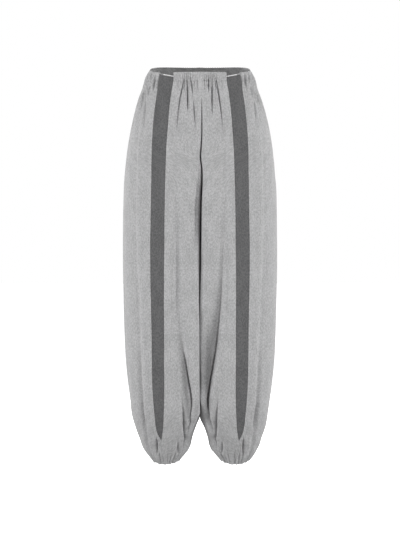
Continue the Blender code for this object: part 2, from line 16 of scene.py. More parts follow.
import bpy
import numpy as np
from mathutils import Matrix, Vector


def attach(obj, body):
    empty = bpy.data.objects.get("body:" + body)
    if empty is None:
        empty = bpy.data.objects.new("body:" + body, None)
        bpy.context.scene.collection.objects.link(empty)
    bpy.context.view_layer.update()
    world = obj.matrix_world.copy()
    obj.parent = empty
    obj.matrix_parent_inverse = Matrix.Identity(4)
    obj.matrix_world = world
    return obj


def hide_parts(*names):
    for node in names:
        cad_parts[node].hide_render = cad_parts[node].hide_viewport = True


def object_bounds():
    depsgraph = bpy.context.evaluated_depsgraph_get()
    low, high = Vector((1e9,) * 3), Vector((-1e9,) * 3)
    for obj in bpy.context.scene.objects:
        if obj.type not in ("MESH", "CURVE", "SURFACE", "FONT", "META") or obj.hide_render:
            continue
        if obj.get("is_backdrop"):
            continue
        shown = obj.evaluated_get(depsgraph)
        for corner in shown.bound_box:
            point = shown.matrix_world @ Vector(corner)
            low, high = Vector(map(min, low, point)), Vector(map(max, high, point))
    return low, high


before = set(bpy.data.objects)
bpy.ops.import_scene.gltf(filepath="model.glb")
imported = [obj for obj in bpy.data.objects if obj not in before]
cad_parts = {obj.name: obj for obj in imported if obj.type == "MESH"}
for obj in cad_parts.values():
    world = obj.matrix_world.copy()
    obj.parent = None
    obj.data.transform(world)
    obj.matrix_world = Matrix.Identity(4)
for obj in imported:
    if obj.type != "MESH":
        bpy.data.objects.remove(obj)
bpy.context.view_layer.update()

bl_info = {
    "name": "Balloon-leg track pants",
    "version": (1, 0, 0),
    "blender": (4, 5, 0),
    "location": "3D View > Sidebar > Track pants",
    "description": "Builds the cloth, casings, hems and cord of a pair of track pants",
    "category": "Add Mesh",
}


def table(kind, *rows, plain=()):
    """A table of named rows, given in millimetres apart from the plain columns, and kept in metres."""
    return tuple(
        kind(*(value if name in plain else value / 1000 for name, value in zip(kind._fields, row)))
        for row in rows
    )


# Waist
WAIST_RISE = 0.0310
WAIST_RISE_ENDS = -0.300
WAIST_DEPTH = 0.0975
CASING_FOOT = -0.0225
BAND_DEEPER = 0.0115
BAND_DEEPER_ENDS = -0.204
WAIST_SQUARENESS = 2.3
BAND_START_SHARE = 12 / 26

# Seat and crotch
VALLEY_STARTS = -0.045
CROTCH = -0.350
CROTCH_CURVE = 1.5
VALLEY_ARC = radians(1.3)
LEG_SQUARENESS = 2.3
CENTRE_GAP = 0.00002
SEAM_SQUARED_WIDTH = 0.010

# The inner sides of the two legs lie in one shallow wave, so that nothing shows between them
INNER_WAVE = 0.0030
INNER_WAVE_LENGTH = 0.120
INNER_WAVE_REACH = 0.050
LEFT_ANKLE_WIDER = 0.0040
LEFT_ANKLE_SPAN = (-0.895, -0.983)

# How far the centre front seam strays towards +X, row by row
Stray = namedtuple("Stray", "z x")
CENTRE_LINE = table(
    Stray,
    (-45, 0), (-70, 4), (-110, 5.2), (-153, 5.8), (-230, 4.4), (-333, 0.4),
    (-436.5, -2.3), (-616.9, -4), (-797.3, -3.4), (-860, -2.2), (-900, 0),
)

# The narrow trough along the centre front seam, above where the valley between the legs takes over
Trough = namedtuple("Trough", "z depth width")
CENTRE_TROUGH = table(
    Trough,
    (-65, 0, 2), (-85, 1.4, 1.8), (-105, 2.4, 1.8), (-130, 3, 1.8), (-200, 2.6, 1.8),
    (-270, 4, 2.6), (-340, 0, 3.4),
)

# How far each leg's front corner fills the valley between the legs, row by row
Fill = namedtuple("Fill", "z share")
VALLEY_FILL = table(
    Fill,
    (-90, 0), (-130, 0.45), (-230, 0.5), (-330, 0), (-520, 0), (-600, 0.5),
    (-660, 0.6), (-800, 0.6), (-870, 0.8), (-900, 0),
    plain=("share",),
)
VALLEY_FILL_REACH = 0.004
INNER_HALF, CORNER_TURNS = (0.2, 0.5), (0.35, 0.65)
BACK_VALLEY_FILL = 0.45
VALLEY_JOINED, VALLEY_OPEN = -0.820, -0.870

# Stripe, waist cord and hem
STRIPE_SUNK = 0.0005
STRIPE_TOP = -0.0115
STRIPE_TIP = -0.9540
STRIPE_SEAM_CLOSES = -0.9585
STRIPE_CORNER = 0.0045
STRIPE_SLOPE_ROWS = 16
CORD_RADIUS = 0.0015
CORD_AT_FRONT = -0.0100
CORD_AT_SIDE = -0.0030
CORD_CLEARANCE = 0.0009
CORD_STRANDS, STRAND_SHARE, CORD_LAY = 3, 0.54, 0.011
CORD_STEPS, CORD_SIDES = 60, 8
CORD_SHOWS = (0.66, 0.70)
HEM_TOP = -1.000
HEM_FOOT = -1.0190
HEM_DIP = 0.0080
HEM_SIDES_UP = 0.0064

# Half widths and depths of the garment, and where the seams lie on its front, row by row.
# "inner" is the side of the leg that faces the other leg, and "corner" is how square that side is.
Section = namedtuple("Section", "z outer inner front back stripe_in stripe_out seam corner")
SECTIONS = table(
    Section,
    (0, 132, 1, 97.5, 97.5, 69, 105, 121, 11),
    (-22.5, 145.5, 1, 101, 106, 69.5, 109, 129, 11),
    (-50, 154.4, 1, 106, 117, 74, 111.8, 137, 11),
    (-90, 168, 1, 112, 130, 79.3, 117, 145.5, 11),
    (-140, 181, 1, 118, 139, 83.3, 122, 154, 11),
    (-200, 191.4, 1, 122, 143, 87.2, 125, 159, 11),
    (-280, 199.5, 1, 124, 142, 89.7, 125.8, 160.5, 11),
    (-360, 202.5, 1, 124, 137, 91.2, 127, 162, 11),
    (-450, 203.5, 1, 123, 131, 92, 128.4, 160, 11),
    (-560, 202.5, 1, 122, 127, 93, 127.6, 155, 11),
    (-670, 199.8, 1, 120, 124, 92.6, 125.4, 150.3, 11),
    (-750, 196, 1, 117, 122, 92.6, 124.6, 147, 10),
    (-816, 189.5, 1, 112, 119, 92.2, 123.4, 144.5, 9),
    (-856, 184.3, 1, 107, 114, 92.7, 120.8, 143.5, 7),
    (-895.5, 178.8, 2, 99, 105.5, 94.3, 117.4, 142, 4.6),
    (-922, 172.2, 10, 91, 96.5, 95.8, 114.5, 140, 3.4),
    (-938, 166.6, 15.5, 85, 90, 97.6, 110.8, 138.5, 2.9),
    (1000 * STRIPE_TIP, 160.2, 20.2, 78.0, 81.0, 100.3, 102.8, 135.5, 2.5),
    (1000 * STRIPE_SEAM_CLOSES, 158.6, 21.2, 75.5, 78.0, 100.7, 100.7, 134.0, 2.4),
    (-975, 152.8, 24.6, 65, 66.5, 100, 100, 129, 2.3),
    (1000 * HEM_TOP, 140.3, 37.2, 47.5, 47.5, 96.0, 96.0, 118.5, 2.1),
    (-1012, 131.8, 46.5, 40, 40, 92.5, 92.5, 111, 2),
    (1000 * HEM_FOOT, 126.0, 51.5, 36.0, 36.0, 91.0, 91.0, 108.0, 2.0),
    plain=("corner",),
)

# The long fold down the front of each leg: a narrow slit in a wider trough. "in" is the side of the fold
# towards the middle, and "lap" is how far the cloth on that side, or the other, lies back from the rest.
Crease = namedtuple("Crease", "z x slit depth width_in width_out lap_in lap_out")
LONG_FOLD = {
    "left": table(
        Crease,
        (-22.5, 44.5, 2, 5, 6, 3, 0, 0), (-34.5, 46, 3, 5, 6, 3, 0, 0),
        (-65.4, 51, 4, 6, 8, 3.4, 1, 0), (-101.5, 55.9, 2.6, 6, 9, 3.8, 1, 0),
        (-153, 59.2, 0.5, 4.5, 11, 5, 1.2, 0), (-240, 58, 0, 4, 13, 7, 1.4, 0),
        (-333, 58.5, 0, 4.4, 13, 8, 2, 0), (-436.5, 59.2, 0, 8.2, 14, 8, 3.5, 0),
        (-539.6, 57.4, 1, 13, 14, 9.5, 7, 0), (-616.9, 53, 3, 21, 20, 11, 11, 0),
        (-668.4, 47.4, 5, 28, 21.5, 13, 16, 0),
        (-720, 41.2, 8, 28, 20.5, 11, 20, 0),
        (-758.6, 34.6, 11, 28, 18, 12, 21, 1),
        (-797.3, 27.4, 15, 25, 14, 13, 21, 3),
        (-835.9, 22, 18, 18, 9, 12, 16, 6),
        (-874.6, 19, 16, 14, 8, 10, 13, 8), (-913.2, 16.6, 12, 10, 6, 9, 7, 8),
        (-942, 16, 0, 0, 5, 8, 0, 0),
    ),
    "right": table(
        Crease,
        (-22.5, 44.5, 2, 5, 6, 3, 0, 0), (-34.5, 46, 3, 5, 6, 3, 0, 0),
        (-65.4, 52.4, 3.6, 5.5, 8, 3.4, 1, 0), (-101.5, 57.2, 2, 5.5, 9, 3.8, 1, 0),
        (-153, 60.6, 0.5, 4.5, 11, 5, 1.2, 0), (-240, 59, 0, 4, 13, 7, 1.2, 0),
        (-333, 58, 0, 4.8, 14, 7, 2, 0), (-436.5, 60.2, 0, 8, 14, 6.5, 3.6, 0),
        (-539.6, 61.6, 0, 10.5, 15, 6.5, 4, 0), (-616.9, 59, 0, 10, 15, 9, 2.4, 1),
        (-668.4, 50, 0, 10, 12, 13, 0, 3), (-720, 42, 1.5, 12, 9, 14, 0, 6),
        (-758.6, 35.4, 7, 15, 7, 14, 0, 8), (-797.3, 29, 10, 17, 6.6, 14, 0, 11),
        (-835.9, 22.4, 10, 15, 6.6, 13, 0, 14), (-874.6, 19.8, 7, 12, 6, 12, 0, 12),
        (-913.2, 19.6, 9, 8, 5, 10, 0, 9), (-942, 19, 0, 0, 4, 8, 0, 0),
    ),
}
SLIT_WIDTH = 0.0021
LONG_FOLD_WIDEST_BLEND = 0.030
LAP_IN_ENDS = (-1.5, 0.5)
LAP_OUT_STARTS, LAP_OUT_ENDS = (-0.5, 1.2), (1.0, 5.0)

# Other folds and gathers: a line on the front (-1) or back (+1) face, from a high end to a low end.
# "deepest" is the place of the greatest depth, as a share of the way down.
Fold = namedtuple("Fold", "leg face z_high x_high z_low x_low depth width_in width_out deepest")
FOLDS = table(
    Fold,
    # gathers below the front casing
    ("left", -1, -22.5, 11.5, -60, 12.2, 3.4, 2.2, 2.2, 0.25),
    ("left", -1, -22.5, 22.2, -58, 22.6, 8.5, 2.2, 2.4, 0.25),
    ("left", -1, -22.5, 31.5, -130, 31.2, 8.5, 2.4, 2.4, 0.42),
    ("both", -1, -22.5, 40, -56, 40.4, 5, 2.2, 2.2, 0.3),
    ("left", -1, -22.5, 16.8, -45, 17, 3, 2, 2, 0.3),
    ("left", -1, -22.5, 27, -42, 27.5, 3.6, 2, 2, 0.3),
    ("left", -1, -22.5, 35.5, -44, 36, 3.6, 2, 2, 0.3),
    ("left", -1, -22.5, 56, -70, 62, 2.2, 3, 3, 0.3),
    ("right", -1, -22.5, 7, -60, 6.4, 3.4, 2.2, 2.2, 0.3),
    ("right", -1, -22.5, 22.8, -70, 16.8, 7, 2.2, 2.6, 0.25),
    ("right", -1, -48, 18.2, -195, 8, 5, 2.2, 3, 0.35),
    ("right", -1, -22.5, 15, -50, 15, 3, 2, 2, 0.3),
    ("right", -1, -22.5, 32.8, -125, 31.2, 8.5, 2.4, 2.4, 0.4),
    ("right", -1, -22.5, 27.2, -44, 27.6, 3.2, 2, 2, 0.3),
    ("right", -1, -22.5, 35.8, -44, 36.2, 3.6, 2, 2, 0.3),
    ("right", -1, -22.5, 56, -72, 62, 2.2, 3, 3, 0.3),
    # the right leg's cloth falls away into the valley between the legs
    ("right", -1, -160, 2, -520, 3, 11, 6, 5.8, 0.6),
    ("left", -1, -400, 1, -620, 1, 6, 4, 12, 0.35),
    ("left", -1, -520, 20, -900, 12, 4.4, 11, 11, 0.6),
    # gathers below the side casings
    ("left", -1, -9, 117.5, -62, 124.5, 6, 2.4, 2.6, 0.35),
    ("left", -1, -9, 128.5, -80, 138.5, 6, 2.6, 3, 0.35),
    ("left", -1, -9, 138.5, -180, 147, 4.6, 3, 3.4, 0.35),
    ("left", -1, -15, 143, -125, 165, 7, 2.4, 3, 0.4),
    ("right", -1, -9, 117, -58, 124, 6, 2.4, 2.6, 0.35),
    ("right", -1, -9, 128, -76, 138, 6, 2.6, 3, 0.4),
    ("right", -1, -9, 138, -170, 146.5, 4.6, 3, 3.4, 0.4),
    ("right", -1, -15, 143, -120, 164, 7, 2.4, 3, 0.35),
    ("both", -1, -800, 52.5, -999, 33, 7, 10, 4, 0.75),
    ("both", -1, -820, 50.5, -999, 33, 9, 2.2, 2.2, 0.75),
    ("both", -1, -950, 59, -999, 57, 4.5, 2.4, 2.4, 0.6),
    ("left", -1, -600, 159, -940, 142, 6, 3, 9, 0.8),
    ("left", -1, -840, 150, -999, 128.5, 10.5, 2.6, 8.5, 0.5),
    ("right", -1, -600, 159, -940, 147.5, 6, 3, 9, 0.8),
    ("right", -1, -840, 154.5, -999, 129, 10, 2.6, 7.5, 0.5),
    ("both", -1, -938, 113, -999, 112, 8, 2.2, 2.2, 0.6),
    ("left", 1, -360, 142, -780, 136, 6, 11, 11, 0.5),
    ("right", 1, -400, 145, -820, 134, 6, 11, 11, 0.5),
    ("left", 1, -420, 64, -960, 56, 14, 5, 13, 0.7),
    ("right", 1, -380, 60, -950, 58, 13, 13, 5, 0.7),
    ("both", 1, -600, 14, -940, 26, 12, 6, 10, 0.7),
    ("left", 1, -700, 90, -980, 80, 9, 5, 11, 0.7),
    ("right", 1, -730, 88, -985, 79, 9, 11, 5, 0.7),
    ("left", 1, -150, 56, -620, 38, 8, 23, 26, 0.5),
    ("right", 1, -170, 54, -600, 36, 8, 26, 23, 0.5),
    ("left", 1, -780, 112, -990, 101, 10, 6, 8, 0.7),
    ("right", 1, -740, 108, -990, 99, 10, 8, 6, 0.7),
    plain=("leg", "face", "deepest"),
)
FOLD_FADE_IN_CASING = 0.0100
FOLD_AT_CASING = 0.75

# Gathers below the back waistband: main ones, and finer ones between them
BACK_SPAN = 26
CENTRE_SPAN = 3
GATHER_PITCH = 3
GATHER_SKEW = 0.631
GATHER_AT_BAND = 0.22
GATHER_OPENS = 0.018
GATHER_DEPTH = (0.0060, 0.0110)
GATHER_LENGTH = (0.070, 0.220)
FINE_GATHER_PITCH = 1.37
FINE_GATHER_DEPTH = (0.0010, 0.0030)
FINE_GATHER_LENGTH = (0.030, 0.090)
UNEVENNESS = 0.618
FINE_GATHER_SHIFT, GATHER_HOLDS = 0.5, 0.2

# What sets the uneven gathers and waves of the two legs apart
STARTS, DRIFTS = {"left": 0.0, "right": 0.37}, {"left": 0.0, "right": 2.0}

# The slight unevenness of hanging cloth: waves, each of which sways as another wave runs across it
Wave = namedtuple("Wave", "strength length sway sway_length")
BROAD_WAVE, FINE_WAVE = Wave(1.0, 0.021, 1.7, 0.110), Wave(0.7, 0.013, 2.3, 0.083)
LEVEL_WAVE = Wave(0.5, 0.061, 2.1, 0.043)
CRUMPLE_FADE = 0.03

# Puckers in the casings and round the elastic of the hem
CASING_BULGE = 0.0008
SIDE_SEWN_SMOOTHER = 0.85
CASING_PUCKER_PITCH = 0.0052
CASING_PUCKER_DEPTH = 0.0026
CASING_PUCKERS_OPEN = (-0.1, 0.45)
SIDE_PUCKER_PITCH = 0.0130
SIDE_PUCKER_DEPTH = 0.0022
SIDE_PUCKERS_END = -0.075
SIDE_PUCKER_SWING, SIDE_PUCKER_SWING_LENGTH = 0.004, 0.009
FRONT_GATHERED_AT, FRONT_GATHERED_REACH, FRONT_FLATTEST = 0.030, 0.016, 0.25
SLOW_DRIFT, QUICK_DRIFT = (1.3, 2.7), (0.7, 1.1)
RIB_SHARPNESS = 1.5
BAND_RIB_PITCH = 0.0056
BAND_RIB_DEPTH = 0.0026
STITCH_GROOVE = 0.0006
STITCH_GROOVE_WIDTH = 0.0013
HEM_PUCKERS = 15
HEM_PUCKER_DEPTH = 0.0022
HEM_PUCKERS_START = -0.945
HEM_CREASES = 31
HEM_CREASE_PLACE = (0.2, 0.8)
HEM_CREASE_LENGTH = (0.010, 0.050)
HEM_CREASE_DEPTH = (0.0010, 0.0030)
HEM_CREASE_WIDTH = 0.0017
PUCKER_DRIFT = 0.9

# Seams
SEAM_GROOVE = 0.0008
SEAM_GROOVE_WIDTH = 0.0012
SIDE_RIDGE = 0.0018
SIDE_RIDGE_WIDTH = 0.0032
SIDE_RIDGE_DITCH = 0.0012
# Painted highlight: the cloth's colour is lighter along the side seam's ridge and along the centre front seam
# near the waist
SEAM_HIGHLIGHT_WIDTH = 0.0045
SEAM_HIGHLIGHT_LIGHTER = 0.30

# How finely the cloth is meshed, and how close in height a row counts as level
RING_STEPS = 720
LEVEL = 1e-6
ROW_SPANS = (
    (0, STRIPE_TOP, 7),
    (STRIPE_TOP, CASING_FOOT, 7),
    (CASING_FOOT, -0.120, 40),
    (-0.120, -0.890, 160),
    (-0.890, STRIPE_TIP, 26),
    (STRIPE_TIP, STRIPE_SEAM_CLOSES, 3),
    (STRIPE_SEAM_CLOSES, HEM_TOP, 26),
    (HEM_TOP, HEM_FOOT, 12),
)
VALLEY_COLUMNS = 22
FRONT_COLUMNS = 140
STRIPE_COLUMNS = 16
SIDE_COLUMNS = 32
BACK_COLUMNS = 152
BAND_COLUMNS = 190
CROWDING = 0.30
EDGE_STEPS = 5
EDGE_ROUNDNESS = 0.6
SHARP_ANGLE = radians(60)

# The columns of each piece, from seam to seam, and how many lie between them
SPANS = {
    "front": (("centre_front", "front_corner", VALLEY_COLUMNS), ("front_corner", "stripe_in", FRONT_COLUMNS)),
    "stripe": (("stripe_in", "stripe_out", STRIPE_COLUMNS),),
    "side": (("stripe_out", "side", SIDE_COLUMNS),),
    "back": (("side", "back_corner", BACK_COLUMNS), ("back_corner", "centre_back", VALLEY_COLUMNS)),
    "front_casing": (("centre_front", "stripe_in", FRONT_COLUMNS),),
    "side_casing": (("stripe_out", "side", SIDE_COLUMNS), ("side", "band", 2 * SIDE_COLUMNS)),
    "back_waistband": (("band", "centre_back", BAND_COLUMNS),),
    "hem": (
        ("centre_front", "front_corner", 12),
        ("front_corner", "stripe_in", 50),
        ("stripe_out", "side", 24),
        ("side", "back_corner", 90),
        ("back_corner", "centre_back", 12),
    ),
    "waist_cord": (("stripe_in", "stripe_out", CORD_STEPS),),
}

# What each piece is cut to, how it is held, and its jersey on the right side and, where it differs, inside
Cut = namedtuple("Cut", "width length area held slot jerseys")
CUTS = {
    "front": Cut(0.205, 0.985, 0.158, "hung", "light_jersey", ("light", "light_inside")),
    "stripe": Cut(0.042, 0.945, 0.034, "hung", "charcoal_jersey", ("dark",)),
    "side": Cut(0.042, 0.990, 0.033, "hung", "light_jersey", ("light", "light_inside")),
    "back": Cut(0.480, 1.000, 0.445, "gathered", "light_jersey", ("light", "light_inside")),
    "front_casing": Cut(0.160, 0.024, 0.0037, "gathered", "light_jersey", ("light",)),
    "side_casing": Cut(0.190, 0.032, 0.0058, "gathered", "light_jersey", ("light",)),
    "back_waistband": Cut(0.420, 0.036, 0.0145, "gathered", "charcoal_jersey", ("band", "band_inside")),
    "hem": Cut(0.340, 0.026, 0.0084, "gathered", "light_jersey", ("light",)),
}

# Each jersey: the setting that colours it, how much lighter and more heathered it is, and which side shows
Jersey = namedtuple("Jersey", "name color lighter heather wrong_side")
JERSEYS = {
    "light": Jersey("light_jersey_right_side", "light_color", 1.0, 1.0, False),
    "light_inside": Jersey("light_jersey_wrong_side", "light_color", 1.05, 1.0, True),
    "dark": Jersey("charcoal_jersey_right_side", "charcoal_color", 1.0, 1.3, False),
    "band": Jersey("charcoal_waistband", "charcoal_color", 1.0, 1.3, False),
    # The waistband's inside is coloured much lighter than its charcoal outside: painted light that makes up
    # for the shade inside the waist
    "band_inside": Jersey("charcoal_waistband_inside", "band_color", 1.0, 1.0, True),
}

# Metres across and down a fibre, a fleck and a patch of tone, and the pitch of the knit's columns and rows
FIBRE, FLECK, PATCH = (0.0011, 0.0042), (0.0034, 0.0060), (0.0190, 0.0420)
WALE, COURSE = 0.0013, 0.0010
# How strongly the three show in the tone, and the jersey's tone where it is darkest and lightest
FIBRE_TONE, FLECK_TONE, PATCH_TONE = 2.4, 2.0, 0.9
DARKEST, LIGHTEST = 0.80, 1.20

# Studio. The soft lights stand in pairs, before and behind the garment: where the right one is, and its power
FLOOR_REACH = 60.0
SOFT_BOXES = (((3.0, -1.8, -0.05), 1.0), ((2.0, 3.0, 0.30), 0.62))
SOFT_BOX_SIZE = (1.4, 2.0)
SOFT_BOXES_AIM = (0.0, 0.0, -0.45)
SENSOR_MM, LENS_MM = 36.0, 127.92
CAMERA_HEIGHT = -0.5035
FLOOR_SIDES = 64


def ease(value, start, end):
    """0 at the start, 1 at the end, and level at both."""
    share = np.clip((value - start) / (end - start), 0.0, 1.0)
    return share * share * (3.0 - 2.0 * share)


def curve_through(heights, values, at):
    """A smooth curve through table values whose heights fall from row to row, read at many heights."""
    slopes = np.gradient(values, heights)
    row = np.clip(np.searchsorted(-heights, -at, side="right") - 1, 0, len(heights) - 2)
    span = heights[row + 1] - heights[row]
    t = np.clip((at - heights[row]) / span, 0.0, 1.0)
    start = values[row] * (1 + 2 * t) * (1 - t) ** 2 + slopes[row] * span * t * (1 - t) ** 2
    end = values[row + 1] * t * t * (3 - 2 * t) + slopes[row + 1] * span * t * t * (t - 1)
    return start + end


def read_table(table, at):
    """A table at many heights: its own named tuple, with a column of values under each name."""
    columns = np.array(table).T
    values = [curve_through(columns[0], column, at)[:, None] for column in columns[1:]]
    return type(table[0])(at[:, None], *values)


def rounded_square(angle, squareness):
    """Points of a unit superellipse in the directions of angles, as (cosine, sine)."""
    across, along = np.cos(angle), np.sin(angle)
    reach = (np.abs(across) ** squareness + np.abs(along) ** squareness) ** (-1 / squareness)
    return across * reach, along * reach


def crotch_share(z):
    """How far the centre seam has turned in between the legs: 0 at the waist, 1 at the crotch."""
    return ease(z, VALLEY_STARTS, CROTCH) ** CROTCH_CURVE


def ring_points(section, turns):
    """The rings at many heights. A turn is 0 at the front seam, 180 degrees at the side, 360 at the back."""
    before = turns <= pi
    depth = np.where(before, -section.front, section.back)
    angle = np.where(before, turns, 2 * pi - turns)
    squareness = np.where(angle < pi / 2, section.corner, LEG_SQUARENESS)
    across, along = rounded_square(pi - angle, squareness)
    middle = (section.outer + section.inner) / 2
    half = (section.outer - section.inner) / 2
    leg_x, leg_y = middle + half * across, depth * along
    valley_turn = pi / 4
    pelvis_angle = np.where(
        angle < valley_turn,
        VALLEY_ARC * angle / valley_turn,
        VALLEY_ARC + (pi / 2 - VALLEY_ARC) * (angle - valley_turn) / (pi - valley_turn),
    )
    along, across = rounded_square(pelvis_angle, WAIST_SQUARENESS)
    share = crotch_share(section.z)
    x = share * leg_x + (1 - share) * section.outer * across
    y = share * leg_y + (1 - share) * depth * along
    return x, y


def row_heights():
    """The heights of the rows, closer together where the shape is finer."""
    parts = [np.linspace(top, foot, count + 1)[:-1] for top, foot, count in ROW_SPANS]
    return np.concatenate(parts + [[HEM_FOOT]])


def crowded(count):
    """Shares from 0 to 1 that lie closer together at both ends, where the seams are."""
    share = np.linspace(0.0, 1.0, count + 1)
    return share - CROWDING * np.sin(2 * pi * share) / (2 * pi)


def outward(grid):
    """The direction out of the cloth at each point of a grid."""
    normals = np.cross(np.gradient(grid, axis=0), np.gradient(grid, axis=1))
    normals[:, 0, 0] = np.minimum(normals[:, 0, 0], 0.0)
    normals[:, -1, 0] = np.minimum(normals[:, -1, 0], 0.0)
    return normals / np.maximum(np.linalg.norm(normals, axis=2, keepdims=True), 1e-12)


def hump(offset, width):
    """A smooth hump of height 1 at no offset."""
    return np.exp(-((offset / width) ** 2))


def uneven(number, ends, start):
    """Values between two ends that seem to follow no rule from one gather to the next."""
    return ends[0] + (ends[1] - ends[0]) * ((start + number * UNEVENNESS) % 1.0)


def swaying(wave, along, across, sway_turn=0.0, turn=0.0):
    """A wave that runs one way and sways to and fro on its way across."""
    sway = wave.sway * np.sin(across / wave.sway_length + sway_turn)
    return wave.strength * np.sin(along / wave.length + sway + turn)


def pucker(place, count, drift):
    """Uneven waves round an elastic, from 0 on the crests to 1 in the dips."""
    wave = 2 * pi * count * place + PUCKER_DRIFT * np.sin(2 * pi * 3 * place + drift)
    return 0.5 - 0.5 * np.cos(wave)


class Leg:
    """The cloth of one leg, read at any of its rows and at any place round them."""

    def __init__(self, side):
        self.side = side
        self.mirror = 1.0 if side == "left" else -1.0
        self.start, self.drift = STARTS[side], DRIFTS[side]
        self.z = row_heights()
        self.section = read_table(SECTIONS, self.z)
        if side == "left":
            wider = LEFT_ANKLE_WIDER * ease(self.z, *LEFT_ANKLE_SPAN)
            self.section = self.section._replace(outer=self.section.outer + wider[:, None])
        self.lay_rings()
        self.find_seams()

    def lay_rings(self):
        x, y = ring_points(self.section, np.linspace(0, 2 * pi, RING_STEPS + 1))
        x, y = self.fill_valley(x, y)
        x = np.maximum(x, CENTRE_GAP)
        x = x + (self.inner_wave(x, y) + self.centre_stray(x, y)) * self.mirror
        steps = np.hypot(np.diff(x, axis=1), np.diff(y, axis=1))
        self.along = np.concatenate((np.zeros((len(x), 1)), np.cumsum(steps, axis=1)), axis=1)
        self.plain = np.stack((x, y, self.height(y)), axis=2)
        self.out = outward(self.plain)
        closed = self.z <= CROTCH
        shared = self.out[closed, 0] + self.out[closed, -1]
        shared /= np.linalg.norm(shared, axis=1, keepdims=True)
        self.out[closed, 0] = shared
        self.out[closed, -1] = shared
        self.square_seam_up(~closed)

    def square_seam_up(self, rows):
        """Above the crotch the cloth beside a centre seam sinks straight back, so that both halves meet."""
        to_end = self.along[rows, -1:] - self.along[rows]
        for distance, way in ((self.along[rows], -1.0), (to_end, 1.0)):
            near = hump(distance, SEAM_SQUARED_WIDTH)[..., None]
            out = self.out[rows] * (1 - near) + np.array((0.0, way, 0.0)) * near
            self.out[rows] = out / np.linalg.norm(out, axis=2, keepdims=True)

    def fill_valley(self, x, y):
        """Brings the front and back corners that face the other leg out towards it."""
        rings = self.section
        held = (self.z > VALLEY_FILL[-1].z) & (self.z < VALLEY_FILL[0].z)
        share = read_table(VALLEY_FILL, self.z).share * held[:, None]
        inner_half = 1 - ease((x - rings.inner) / (rings.outer - rings.inner), *INNER_HALF)
        reach = hump(x - rings.inner, VALLEY_FILL_REACH) * (1 - ease(rings.z, VALLEY_JOINED, VALLEY_OPEN))
        for depth, way, most in ((rings.front, -1, 1.0), (rings.back, 1, BACK_VALLEY_FILL)):
            corner = np.minimum(share, most) * inner_half * ease(way * y / depth, *CORNER_TURNS)
            x = x - corner * reach * rings.inner
            y = y + corner * (way * depth - y)
        return x, y

    def inner_wave(self, x, y):
        """A wave that starts at the seam and dies away from the middle, opposite before and behind it."""
        behind = np.arange(x.shape[1]) > x.shape[1] // 2
        from_seam = np.where(behind, y - y[:, -1:], y[:, :1] - y)
        wave = np.where(behind, 1.0, -1.0) * np.sin(2 * pi * from_seam / INNER_WAVE_LENGTH)
        fade = np.clip(1 - (x - self.section.inner) / INNER_WAVE_REACH, 0.0, 1.0) ** 2
        return INNER_WAVE * wave * fade * (1 - ease(self.section.inner, INNER_WAVE, 4 * INNER_WAVE))

    def centre_stray(self, x, y):
        """How far the front near the centre seam strays to one side. It dies away towards the inseam."""
        held = (self.z > CENTRE_LINE[-1].z) & (self.z < CENTRE_LINE[0].z)
        stray = read_table(CENTRE_LINE, self.z).x * held[:, None]
        fade = np.clip(1 - x / INNER_WAVE_REACH, 0.0, 1.0) ** 2
        return stray * fade * np.clip(-y / self.section.front, 0.0, 1.0)

    def height(self, y):
        """The waist rises and its band deepens towards the back, and the hem dips at the front."""
        z = self.section.z
        rise = WAIST_RISE * ease(y, -WAIST_DEPTH, WAIST_DEPTH) * (1 - ease(z, 0.0, WAIST_RISE_ENDS))
        deeper = BAND_DEEPER * ease(y, 0.0, WAIST_DEPTH) * ease(z, 0.0, CASING_FOOT)
        deeper = deeper * (1 - ease(z, CASING_FOOT, BAND_DEEPER_ENDS))
        ahead = -y / self.section.front
        dip = 0.5 * HEM_DIP * ahead * ease(z, STRIPE_TIP, HEM_TOP)
        up = HEM_SIDES_UP * np.maximum(0.0, 1 - ahead**2) * ease(z, STRIPE_TIP, HEM_FOOT)
        return z + rise - deeper - dip + up

    def place(self, x, face=-1, rows=slice(None)):
        """How far along each ring the front or back face reaches a distance from the middle."""
        eighth, side = RING_STEPS // 8, RING_STEPS // 2
        part = slice(eighth, side + 1) if face < 0 else slice(side, RING_STEPS - eighth + 1)
        across = -face * self.plain[rows][:, part, 0]
        along = self.along[rows][:, part]
        wanted = -face * np.broadcast_to(x, (len(along), 1))[:, 0]
        return np.array([[np.interp(w, a, d)] for w, a, d in zip(wanted, across, along)])

    def find_seams(self):
        """Where the seams and corners lie along each ring."""
        stripe_in = self.place(self.section.stripe_in)
        stripe_out = np.maximum(self.place(self.section.stripe_out), stripe_in)
        closed = self.section.z <= STRIPE_SEAM_CLOSES
        side_seam = self.place(self.section.seam)
        back_corner = self.along[:, 7 * RING_STEPS // 8, None]
        self.seams = {
            "centre_front": np.zeros_like(stripe_in),
            "front_corner": self.along[:, RING_STEPS // 8, None],
            "stripe_in": stripe_in,
            "stripe_out": np.where(closed, stripe_in, stripe_out),
            "side": side_seam,
            "band": side_seam + (back_corner - side_seam) * BAND_START_SHARE,
            "back_corner": back_corner,
            "centre_back": self.along[:, -1:],
        }

    def rows(self, top, foot):
        """The rows from one height down to another."""
        return np.nonzero((self.z <= top + LEVEL) & (self.z >= foot - LEVEL))[0]

    def places(self, rows, spans):
        """Places along the rings for a piece's columns. A span is (first seam, last seam, count)."""
        parts = []
        for first, last, count in spans:
            start, end = self.seams[first][rows], self.seams[last][rows]
            parts.append(start + (end - start) * crowded(count)[:-1])
        return np.concatenate(parts + [end], axis=1)

    def read(self, values, rows, at):
        """Values of the rings, read at places along them."""
        values = values[rows]
        along = self.along[rows]
        read = [[np.interp(a, d, axis) for axis in v.T] for a, d, v in zip(at, along, values)]
        return np.moveaxis(np.array(read), 1, 2)

